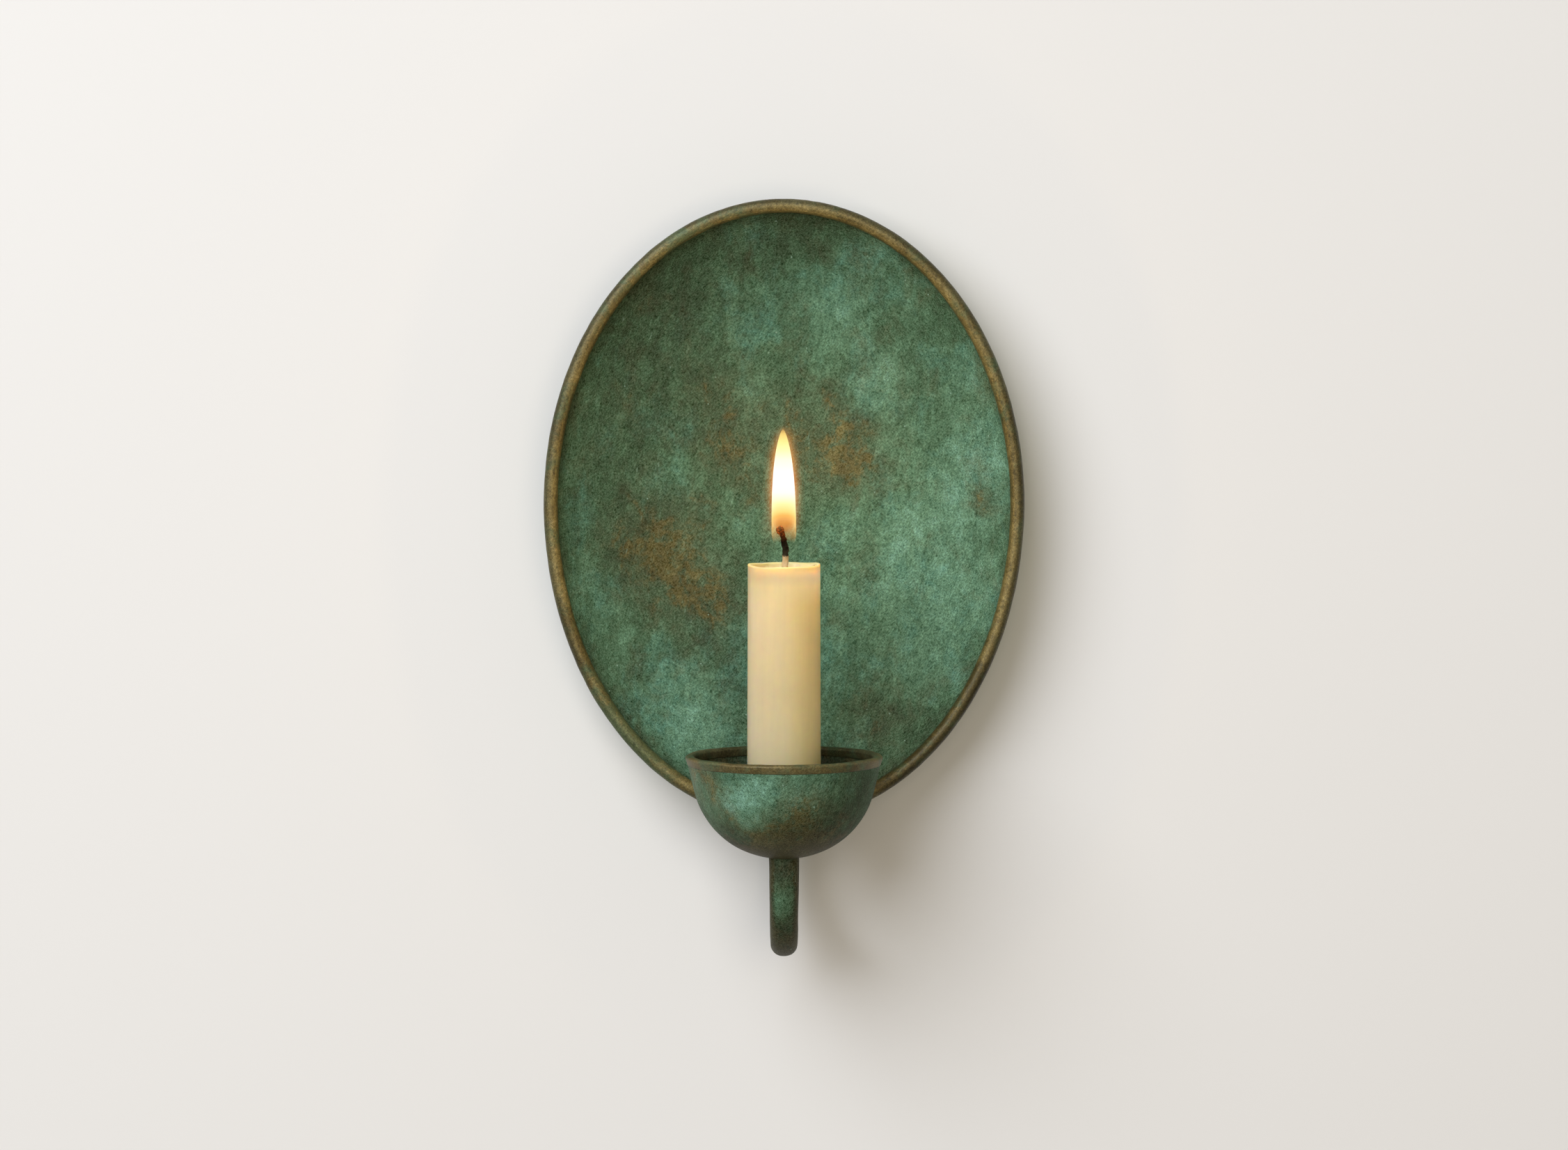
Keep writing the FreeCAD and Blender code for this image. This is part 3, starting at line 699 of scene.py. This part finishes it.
def arm_stations():
    """The arm from the top of its tang to the cup.

    Each station is (centre, angle from straight down, half width and thickness, power).
    """
    stations = []
    tang_depth = STRAP_T + TANG_T / 2
    crank_r = (ARM_BACK_DEPTH - tang_depth) / (2 * (1 - math.cos(CRANK_ANGLE)))
    run = crank_r * math.sin(CRANK_ANGLE)
    crank_top = CRANK_FOOT + 2 * run
    tang = (TANG_HALF_WIDTH, TANG_T / 2)
    top = ARM_HI.z
    crown = top - TANG_HALF_WIDTH
    for i in range(TOP_STEPS + 1):
        z = top - (top - crown) * (1 - math.cos(math.pi / 2 * (i + TOP_GAP) / (TOP_STEPS + TOP_GAP)))
        half = math.sqrt(max(TANG_HALF_WIDTH**2 - (z - crown) ** 2, 0))
        stations.append((Vector((0, -tang_depth, z)), 0.0, (half, tang[1]), TANG_POWER))
    for i in range(1, 11):
        z = between(crown, crank_top, i / 10)
        stations.append((Vector((0, -tang_depth, z)), 0.0, tang, TANG_POWER))
    steps = 14
    for i in range(1, 2 * steps + 1):
        share = i / (2 * steps)
        if i <= steps:
            angle = CRANK_ANGLE * i / steps
            depth = tang_depth + crank_r * (1 - math.cos(angle))
            z = crank_top - crank_r * math.sin(angle)
        else:
            angle = CRANK_ANGLE * (2 * steps - i) / steps
            depth = ARM_BACK_DEPTH - crank_r * (1 - math.cos(angle))
            z = CRANK_FOOT + crank_r * math.sin(angle)
        eased = share * share * (3 - 2 * share)
        half = (between(tang[0], LIMB_BACK[0], eased), between(tang[1], LIMB_BACK[1], eased))
        power = between(TANG_POWER, ROUND_POWER, eased)
        stations.append((Vector((0, -depth, z)), angle, half, power))
    limb = []
    for i in range(1, 6):
        limb.append((Vector((0, -ARM_BACK_DEPTH, between(CRANK_FOOT, BEND_Z, i / 6))), 0.0))
    middle = Vector((0, -(ARM_BACK_DEPTH + BEND_R), BEND_Z))
    for i in range(61):
        angle = math.pi * i / 60
        limb.append((middle + BEND_R * Vector((0, math.cos(angle), -math.sin(angle))), angle))
    end = CUP_FOOT + 0.9 * MM
    for i in range(1, 9):
        limb.append((Vector((0, AXIS_Y, between(BEND_Z, end, i / 8))), math.pi))
    for i, (centre, angle) in enumerate(limb):
        swell = max(0.0, (i / (len(limb) - 1) - SWELL_START) / (1 - SWELL_START))
        half = tuple(between(LIMB_BACK[k], LIMB_CUP[k], swell) for k in (0, 1))
        stations.append((centre, angle, half, between(ROUND_POWER, CUP_END_POWER, swell)))
    return stations


def arm():
    """The forged arm, in one skin from its flat tang to the cup.

    Its values are 0 in front and behind, and 1 at its sides, where it gets painted shade and a browner
    patina.
    """
    count = 56
    rings, values = [], []
    for centre, angle, (half_width, half_thick), power in arm_stations():
        outward = Vector((0, -math.cos(angle), math.sin(angle)))
        ring, sides = [], []
        for j in range(count):
            turn = 2 * math.pi * j / count
            across = math.copysign(abs(math.cos(turn)) ** (2 / power), math.cos(turn))
            over = math.copysign(abs(math.sin(turn)) ** (2 / power), math.sin(turn))
            spoke = Vector((half_width * across, 0, 0)) + outward * (half_thick * over)
            point = centre + spoke
            uneven = 0.14 * wobble(point, 12 * MM, 8.0) + 0.06 * wobble(point, 4 * MM, 2.0) - 0.08
            if point.y < -STRAP_T - TANG_T:
                point += spoke.normalized() * uneven * MM
            ring.append(point)
            sides.append(min(max((abs(across) - 0.55) / 0.40, 0), 1))
        rings.append(ring)
        values.append(sides)
    return skin("Arm", rings, values=values)


# ---------------------------------------------------------------- candle
def candle():
    """The stub candle, with a melt pool inside a thin uneven lip.

    Its values are 0 outside and 1 in the pool.
    """
    edge = 0.9 * MM
    profile = [(0.4 * MM, CANDLE_FOOT), (CANDLE_R - edge, CANDLE_FOOT)]
    profile += arc((CANDLE_R - edge, CANDLE_FOOT + edge), edge, -math.pi / 2, 0, 5)[1:]
    steps = 60
    top = CANDLE_TOP - 0.6 * MM
    for i in range(1, steps + 1):
        share = i / steps
        profile.append((between(CANDLE_R, CANDLE_TOP_R, share), between(CANDLE_FOOT + edge, top, share)))
    lip = 0.4 * MM
    profile += arc((CANDLE_TOP_R - lip, CANDLE_TOP - lip), lip, 0.1, math.radians(165), 9)
    values = [0.0] * len(profile)
    wall, wall_top = profile[-1]
    floor = wall - 0.8 * MM
    for i in range(1, 9):
        share = i / 8
        drop = 0.75 * POOL_DEPTH * math.sin(math.pi / 2 * share)
        profile.append((between(wall, floor, share**1.5), wall_top - drop))
    foot = profile[-1][1]
    for i in range(1, 21):
        share = i / 20
        mound = 0.5 * MM * max(0.0, (share - 0.8) / 0.2) ** 2
        hollow = 0.25 * POOL_DEPTH * math.sin(math.pi * share)
        profile.append((between(floor, 0.3 * MM, share), foot - hollow + mound))
    values += [1.0] * (len(profile) - len(values))

    def stir(point, turn):
        outward = Vector((math.cos(turn), math.sin(turn), 0))
        rise = min(max((point.z - (CANDLE_TOP - 5 * MM)) / (5 * MM), 0), 1) ** 2
        around = outward * CANDLE_R
        column = Vector((point.x, point.y, point.z * 0.25))
        side = 0.05 * wobble(column, 9 * MM, 1.0)
        lip_wave = 0.20 * wobble(around, 12 * MM, 5.2) + 0.10 * wobble(around, 5 * MM, 2.2) + 0.15
        lip_wave += 0.45 * abs(math.cos(turn)) ** 8
        point = point + outward * (side - 0.03) * MM
        if math.hypot(point.x, point.y - AXIS_Y) > POOL_R - 2 * MM:
            point.z += lip_wave * rise * MM
        return point

    return skin("Candle", turned_rings(profile, AXIS_Y, 180, stir), values=values, sharp=80)


# The wick's line: height above the candle's top and how far to the right, in millimetres
WICK_LINE = [
    (-3.5, 0.30),
    (0.0, 0.35),
    (3.4, 0.50),
    (7.0, 0.25),
    (9.6, -0.40),
    (11.6, -1.15),
    (13.0, -2.15),
]


def smooth_path(points, steps):
    """A smooth curve through the points, with that many steps between each two."""
    path = []
    ends = [points[0], *points, points[-1]]
    for before, start, end, after in zip(ends, ends[1:], ends[2:], ends[3:]):
        leave, arrive = (end - before) / 2, (after - start) / 2
        for i in range(steps):
            t = i / steps
            place = start * (2 * t**3 - 3 * t**2 + 1) + end * (3 * t**2 - 2 * t**3)
            path.append(place + leave * (t**3 - 2 * t**2 + t) + arrive * (t**3 - t**2))
    return path + [points[-1]]


def wick():
    """The burnt braid: three strands twisted together, rough above and waxy at the foot."""
    line = smooth_path([Vector((x * MM, AXIS_Y, CANDLE_TOP + z * MM)) for z, x in WICK_LINE], 14)
    count, last = 30, len(line) - 1
    rings, values = [], []
    for i, centre in enumerate(line):
        share = i / last
        ahead = (line[min(i + 1, last)] - line[max(i - 1, 0)]).normalized()
        sideways = ahead.cross(Vector((0, 1, 0))).normalized()
        other = sideways.cross(ahead)
        height = (centre.z - CANDLE_TOP) / MM
        waist = 0.14 * math.exp(-(((height - 9.8) / 1.1) ** 2))
        knob = 0.26 * math.exp(-(((height - 12.2) / 0.9) ** 2))
        radius = 1.0 - waist + knob
        if share > 0.92:
            radius *= math.sqrt(max(1 - ((share - 0.92) / 0.085) ** 2, 0.02))
        burnt = min(max(height - 2, 0), 2) / 2
        ring = []
        for j in range(count):
            turn = 2 * math.pi * j / count
            spoke = sideways * math.cos(turn) + other * math.sin(turn)
            braid = 0.10 * math.cos(3 * turn + height * 1.7)
            rough = 0.34 * wobble(centre + spoke * MM, 0.9 * MM, 3.0) * burnt
            ring.append(centre + spoke * (radius * (1.05 + braid) + rough) * MM)
        rings.append(ring)
        values.append(height)
    return skin("Wick", rings, values=values, sharp=80)


def wax_material():
    """Ivory wax, with faint streaks and a glossy pool.

    It has painted light: yellower and lighter on its shaded side, lighter towards the top, and
    glowing near the flame.
    """
    n = Nodes("IvoryWax")
    top, foot = CANDLE_TOP / MM, RING_TOP / MM
    share = n.span(n.coordinate("Z"), foot, top)
    # Lighter and warmer towards the top, partly as painted light of the flame, then darker again at the very
    # top
    colour = n.ramp(share, [
        (0.0, (0.57, 0.49, 0.280)),
        (0.45, (0.67, 0.54, 0.285)),
        (0.80, (0.74, 0.580, 0.300)),
        (0.90, (0.66, 0.535, 0.265)),
        (0.96, (0.50, 0.420, 0.225)),
        (1.0, (0.43, 0.375, 0.24)),
    ])
    streak = n.noise(n.place(stretch=(1, 1, 12)), 2.5, detail=3, rough=0.6)
    cloud = n.noise(n.place(), 14, detail=3, rough=0.5)
    # Painted light: the shaded side is yellower and lighter, for light glowing through the wax, and the lit
    # side a little bluer. It fades towards the top.
    painted_side_light = n.ramp(n.span(n.coordinate("X"), -13, 13), [
        (0.0, (0.485, 0.480, 0.530)),
        (0.5, (0.500, 0.500, 0.500)),
        (1.0, (0.590, 0.550, 0.385)),
    ])
    painted_side_light = n.tone(n.mix(1.0, colour, painted_side_light, "MULTIPLY"), 2.0)
    colour = n.mix(n.span(share, 0.78, 0.95, 1.0, 0.25), colour, painted_side_light)
    pool = n.noise(n.place((4, 0, 0)), 8, detail=1)
    pool = n.ramp(pool, [(0.42, (0.40, 0.29, 0.15)), (0.58, (0.58, 0.48, 0.32))])
    colour = n.mix(n.along(), colour, pool)
    colour = n.tone(colour, n.span(n.total((streak, 0.4), (cloud, 0.6)), 0.35, 0.65, 0.95, 1.04))
    n.set(Base_Color=colour, Subsurface_Weight=0.8, Subsurface_Scale=0.011)
    n.shader.inputs["Subsurface Radius"].default_value = (1.0, 0.58, 0.16)
    dry = n.span(streak, 0.3, 0.7, 0.48, 0.60)
    n.set(Roughness=n.math("MULTIPLY_ADD", n.along(), -0.25, dry), Specular_IOR_Level=0.35)
    # Painted light: emission near the top of the wax, stronger on its shaded side, for the flame's light
    # glowing through it
    glow = n.ramp(share, [
        (0.62, (0, 0, 0)),
        (0.80, (0.10, 0.065, 0.010)),
        (0.90, (0.27, 0.205, 0.095)),
        (0.96, (0.26, 0.235, 0.15)),
        (1.0, (0.05, 0.045, 0.03)),
    ])
    outside = n.math("SUBTRACT", 1.0, n.along())
    lit = n.math("MULTIPLY", n.span(n.coordinate("X"), -9, 11, 0.15, 1.0), outside)
    n.set(Emission_Color=n.tone(glow, lit), Emission_Strength=1.0)
    n.bump(n.total((streak, 0.5), (cloud, 0.5)), 0.12, 0.5)
    return n.material


def wick_material():
    """Pale and waxy at the foot, charred above, with an ember at the tip."""
    n = Nodes("BurntWick")
    rough = n.noise(n.place(), 0.5, detail=3, rough=0.7)
    height = n.math("ADD", n.along(), n.math("MULTIPLY", n.math("SUBTRACT", rough, 0.5), 2.2))
    share = n.span(height, 0, 13.2)
    n.set(Base_Color=n.ramp(share, [
        (0.0, (0.60, 0.46, 0.25)),
        (0.21, (0.46, 0.34, 0.18)),
        (0.25, (0.030, 0.024, 0.014)),
        (0.60, (0.006, 0.004, 0.002)),
        (1.0, (0.010, 0.002, 0.001)),
    ]))
    ember = n.ramp(share, [
        (0.62, (0, 0, 0)),
        (0.78, (0.035, 0.007, 0.001)),
        (0.92, (0.10, 0.016, 0.001)),
        (1.0, (0.30, 0.05, 0.004)),
    ])
    spots = n.span(n.noise(n.place(), 0.6, detail=2), 0.48, 0.64, 0.2, 4.0)
    n.set(Emission_Color=n.tone(ember, spots), Emission_Strength=1.0)
    n.set(Roughness=n.span(share, 0.2, 0.3, 0.5, 0.95), Specular_IOR_Level=0.02)
    n.bump(rough, 0.2, 0.8)
    return n.material


# ---------------------------------------------------------------- flame
FLAME_FOOT = 7.0
FLAME_TIP = 46.3
FLAME_HALF_WIDTH = 4.15
FLAME_LEAN = -0.35


def flame_half_width(share):
    """The flame's half width in millimetres, from its foot to its tip."""
    swell = min(share / 0.10, 1.0)
    foot = 0.80 + 0.20 * math.sin(swell * math.pi / 2)
    return FLAME_HALF_WIDTH * foot * max(1 - share**3.0, 0.0) ** 0.70


def flame_shell(name, grow, foot, tip, lag=0.0, steps=60, count=40):
    """A closed shell round the flame's own line. grow gives its radius, and heights are in millimetres.

    Its values are heights too. Low on its front they are smaller, by up to lag, so that the wick's
    tip shows.
    """
    rings, values = [], []
    for i in range(steps + 1):
        share = 0.5 - 0.5 * math.cos(math.pi * i / steps)
        height = between(foot, tip, share)
        radius = max(grow(share), 0.02)
        lean = FLAME_LEAN * max(height - FLAME_FOOT, 0) / (FLAME_TIP - FLAME_FOOT)
        centre = Vector((lean * MM, AXIS_Y, CANDLE_TOP + height * MM))
        drop = lag * min(max((height - foot) / 5, 0), 1) * min(max((23 - height) / 10, 0), 1)
        ring, ages = [], []
        for j in range(count):
            turn = 2 * math.pi * j / count
            ring.append(centre + Vector((math.cos(turn), math.sin(turn), 0)) * radius * MM)
            ages.append(height - drop * max(-math.sin(turn), 0))
        rings.append(ring)
        values.append(ages)
    return skin(name, rings, values=values, sharp=180)


def flame_material(name, strength, stops):
    """Light only. Each stop is (height above the candle in millimetres, colour, solidity)."""
    n = Nodes(name)
    low, high = FLAME_FOOT - 2, FLAME_TIP + 6
    share = n.span(n.along(), low, high)
    places = [(height - low) / (high - low) for height, _, _ in stops]
    colours = [colour for _, colour, _ in stops]
    solids = [(solid,) * 3 for _, _, solid in stops]
    n.set(Base_Color=(0, 0, 0, 1), Roughness=1.0, Specular_IOR_Level=0.0)
    n.set(Emission_Color=n.ramp(share, list(zip(places, colours))), Emission_Strength=strength)
    n.set(Alpha=n.ramp(share, list(zip(places, solids))))
    return n.material


def flame():
    """The flame: a bright mantle, dim cores above the wick, and faint shells of glow outside them."""
    mantle = flame_material("FlameMantle", 2.0, [
        (7.5, (1.00, 0.60, 0.20), 0.0),
        (8.9, (1.00, 0.60, 0.20), 0.05),
        (10.8, (0.90, 0.50, 0.14), 0.12),
        (12.7, (0.79, 0.49, 0.17), 0.27),
        (14.6, (0.67, 0.44, 0.13), 0.40),
        (16.5, (0.65, 0.54, 0.20), 0.50),
        (20.2, (0.63, 0.63, 0.34), 0.55),
        (25.0, (0.60, 0.60, 0.50), 0.90),
        (31.0, (0.55, 0.55, 0.54), 1.0),
        (36.0, (0.55, 0.54, 0.42), 1.0),
        (39.0, (0.54, 0.52, 0.26), 1.0),
        (42.0, (0.50, 0.45, 0.16), 1.0),
        (44.5, (0.45, 0.34, 0.10), 0.8),
        (46.3, (0.40, 0.22, 0.06), 0.1),
    ])
    middle = flame_material("FlameCore", 1.0, [
        (10.6, (0.30, 0.07, 0.00), 0.0),
        (13.0, (0.47, 0.11, 0.00), 0.17),
        (15.0, (0.60, 0.21, 0.01), 0.20),
        (16.8, (0.68, 0.41, 0.06), 0.20),
        (20.5, (0.60, 0.58, 0.11), 0.18),
        (22.4, (0.62, 0.70, 0.30), 0.14),
        (26.0, (1.0, 1.0, 0.9), 0.0),
    ])
    pieces = [(flame_shell("Flame", flame_half_width, FLAME_FOOT, FLAME_TIP, lag=4.5), mantle)]
    for i in range(7):
        wide, top = between(0.93, 0.30, i / 6), between(27.5, 22.0, i / 6)

        def core(share, wide=wide):
            return wide * FLAME_HALF_WIDTH * math.sqrt(max(1 - (2 * share - 1) ** 2, 0)) ** 0.8

        pieces.append((flame_shell(f"FlameCore{i + 1}", core, 9.5 + 0.1 * i, top, lag=4.5), middle))
    glow_strength = 8.0
    for i, (out, glow) in enumerate([
        (0.35, 0.065), (0.75, 0.065), (1.2, 0.052), (1.75, 0.038), (2.4, 0.024), (3.2, 0.012),
    ]):
        def halo(share, out=out):
            return (flame_half_width(share * 0.96) + out) * math.sqrt(max(1 - (2 * share - 1) ** 10, 0))

        warm, solid = (1.0, 0.26, 0.04), glow / glow_strength
        light = flame_material(f"FlameGlow{i + 1}", glow_strength, [
            (8.0, warm, 0.0),
            (17.0, warm, 0.45 * solid),
            (26.0, warm, solid),
            (38.0, (1.0, 0.34, 0.06), 0.8 * solid),
            (49.0, (1.0, 0.40, 0.10), 0.1 * solid),
        ])
        shell = flame_shell(f"FlameGlow{i + 1}", halo, FLAME_FOOT + 1 - out * 0.4, FLAME_TIP + out * 0.7)
        pieces.append((shell, light))
    for piece, material in pieces:
        piece.visible_shadow = False
        finished(piece, material, "flame", "candle")


# ---------------------------------------------------------------- the CAD nodes that stay
def carried_nodes():
    """Gives the CAD parts that stay their own materials."""
    iron = plain_metal("BlackIron", (0.018, 0.016, 0.014), (0.065, 0.057, 0.048), 0.6, 0.55)
    brass = plain_metal(
        "AgedBrass", (0.16, 0.105, 0.04), (0.42, 0.30, 0.13), 0.85, 0.42, size=2.5, depth=0.03,
    )
    bronze = plain_metal("DullBronze", (0.045, 0.038, 0.022), (0.13, 0.105, 0.055), 0.4, 0.6)
    finishes = {
        iron: ["wall_strap"],
        brass: [
            "dish_screw_upper", "dish_screw_lower", "arm_screw_upper", "arm_screw_lower",
            "cup_screw", "cup_washer",
        ],
        bronze: ["dish_boss_upper", "dish_boss_lower", "candle_socket"],
    }
    for material, nodes in finishes.items():
        for node in nodes:
            mesh = frame["nodes"][node].data
            mesh.materials.clear()
            mesh.materials.append(material)


# ---------------------------------------------------------------- stage, lights and camera
CAMERA_LIFT = math.radians(5.0)
CAMERA_LENS = 250.0
FRAME_WIDTH = 0.5372
LOOK_AT = Vector((0, -RIM_DEPTH, -24.5 * MM))
KEY_FROM = Vector((-0.56, -1.0, 0.64))
FILL_FROM = Vector((0.10, -1.0, 0.05))
BACK_FROM = Vector((0, 1, 0.25))

# The world: how bright it is in front of the wall and behind it, and how bright it looks itself
WORLD_COLOUR = (1.0, 0.91, 0.78, 1)
WORLD_FRONT = 0.24
WORLD_BEHIND = 0.06
WORLD_SEEN = 0.80


def camera():
    """A long lens, a little above the reflector, looking slightly down."""
    data = bpy.data.cameras.new("Camera")
    data.lens = CAMERA_LENS
    data.clip_end = 50
    distance = FRAME_WIDTH * data.lens / data.sensor_width
    eye = bpy.data.objects.new("Camera", data)
    back = Vector((0, -math.cos(CAMERA_LIFT), math.sin(CAMERA_LIFT)))
    eye.location = LOOK_AT + back * distance
    eye.rotation_mode = "QUATERNION"
    eye.rotation_quaternion = (-back).to_track_quat("-Z", "Y")
    bpy.context.scene.collection.objects.link(eye)
    bpy.context.scene.camera = eye


def wall():
    """A plain pale wall just behind the strap. It is clear from behind, to leave the back in view."""
    half = 4.0
    behind = 0.4 * MM
    mesh = bpy.data.meshes.new("Wall")
    corners = [(-half, behind, -half), (half, behind, -half), (half, behind, half), (-half, behind, half)]
    mesh.from_pydata(corners, [], [(0, 1, 2, 3)])
    piece = bpy.data.objects.new("Wall", mesh)
    bpy.context.scene.collection.objects.link(piece)
    n = Nodes("PaleWall")
    n.set(Base_Color=(0.82, 0.80, 0.765, 1), Roughness=0.9, Specular_IOR_Level=0.1)
    clear = n.add("ShaderNodeBsdfTransparent")
    choose = n.add("ShaderNodeMixShader")
    n.put(choose.inputs[0], n.add("ShaderNodeNewGeometry").outputs["Backfacing"])
    n.put(choose.inputs[1], n.shader.outputs[0])
    n.put(choose.inputs[2], clear.outputs[0])
    n.put(n.tree.nodes["Material Output"].inputs["Surface"], choose.outputs[0])
    mesh.materials.append(n.material)
    piece.visible_shadow = False
    piece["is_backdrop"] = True


def area_light(name, direction, distance, size, power, colour=(1, 1, 1)):
    data = bpy.data.lights.new(name, "AREA")
    data.shape = "DISK"
    data.size = size
    data.energy = power
    data.color = colour
    lamp = bpy.data.objects.new(name, data)
    lamp.location = LOOK_AT + direction.normalized() * distance
    lamp.rotation_mode = "QUATERNION"
    lamp.rotation_quaternion = (-direction).to_track_quat("-Z", "Y")
    bpy.context.scene.collection.objects.link(lamp)


def lights():
    """A soft key from the upper left, a warm fill in front, a light behind, and the candle's own."""
    area_light("Key", KEY_FROM, distance=2.5, size=2.2, power=62.0, colour=(0.92, 0.975, 1.07))
    area_light("Fill", FILL_FROM, distance=3.0, size=1.5, power=18.0, colour=(1.0, 0.88, 0.70))
    area_light("Back", BACK_FROM, distance=3.0, size=1.0, power=30.0)
    data = bpy.data.lights.new("CandleLight", "POINT")
    data.energy = 0.05
    data.color = (1.0, 0.70, 0.32)
    data.shadow_soft_size = 4 * MM
    lamp = bpy.data.objects.new("CandleLight", data)
    lamp.location = (0, AXIS_Y, CANDLE_TOP + 24 * MM)
    bpy.context.scene.collection.objects.link(lamp)
    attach(lamp, "candle")


def world():
    """Even pale light from in front of the wall, and little from behind it."""
    made = bpy.data.worlds.new("Pale")
    bpy.context.scene.world = made
    made.use_nodes = True
    tree = made.node_tree
    shade = tree.nodes["Background"]
    coordinate = tree.nodes.new("ShaderNodeTexCoord")
    split = tree.nodes.new("ShaderNodeSeparateXYZ")
    tree.links.new(coordinate.outputs["Generated"], split.inputs[0])
    strength = tree.nodes.new("ShaderNodeMapRange")
    strength.inputs["From Min"].default_value = -0.15
    strength.inputs["From Max"].default_value = 0.15
    strength.inputs["To Min"].default_value = WORLD_FRONT
    strength.inputs["To Max"].default_value = WORLD_BEHIND
    tree.links.new(split.outputs["Y"], strength.inputs["Value"])
    # The plain Mix node's two numbers are its inputs 2 and 3
    path = tree.nodes.new("ShaderNodeLightPath")
    choose = tree.nodes.new("ShaderNodeMix")
    tree.links.new(path.outputs["Is Camera Ray"], choose.inputs["Factor"])
    tree.links.new(strength.outputs["Result"], choose.inputs[2])
    choose.inputs[3].default_value = WORLD_SEEN
    tree.links.new(choose.outputs[0], shade.inputs["Strength"])
    shade.inputs["Color"].default_value = WORLD_COLOUR


def main():
    # shade is painted shade: on the dish next to its rim, inside the bowl and on the arm's sides
    dish = patina("VerdigrisDish", patches=DISH_PATCHES, shade=0.06, olive=0.15)
    finished(reflector_dish(), dish, "verdigris_bronze", "sconce", "reflector_dish")
    rim = rubbed_bronze("RubbedRim", patches=RIM_PATCHES, bright=0.92, edge=(-0.1, 0.85))
    finished(reflector_rim(), rim, "worn_bronze", "sconce", "reflector_rim")
    bowl = patina("VerdigrisCup", (31, 7, 12), BOWL_PATCHES, rust=0.7, shade=0.30, olive=0.7)
    finished(candle_cup(), bowl, "verdigris_bronze", "sconce", "candle_cup")
    ring = rubbed_bronze("RubbedRing", (9, 3, 5), green=0.07, bright=0.7)
    finished(cup_rim_ring(), ring, "worn_bronze", "sconce", "cup_rim_ring")
    limb = patina("VerdigrisArm", (5, 21, 40), ARM_PATCHES, rust=0.5, shade=0.28, olive=1.2)
    finished(arm(), limb, "verdigris_bronze", "sconce", "arm")
    finished(candle(), wax_material(), "wax", "candle", "candle")
    finished(wick(), wick_material(), "wick", "candle", "wick")
    flame()
    carried_nodes()
    wall()
    lights()
    world()
    camera()
    bpy.context.scene.view_settings.view_transform = "Standard"
    bpy.context.scene.cycles.transparent_max_bounces = 48


main()
boxes = {"cad": CAD_BOX, "visual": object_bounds()}
{name: [list(corner) for corner in box] for name, box in boxes.items()}
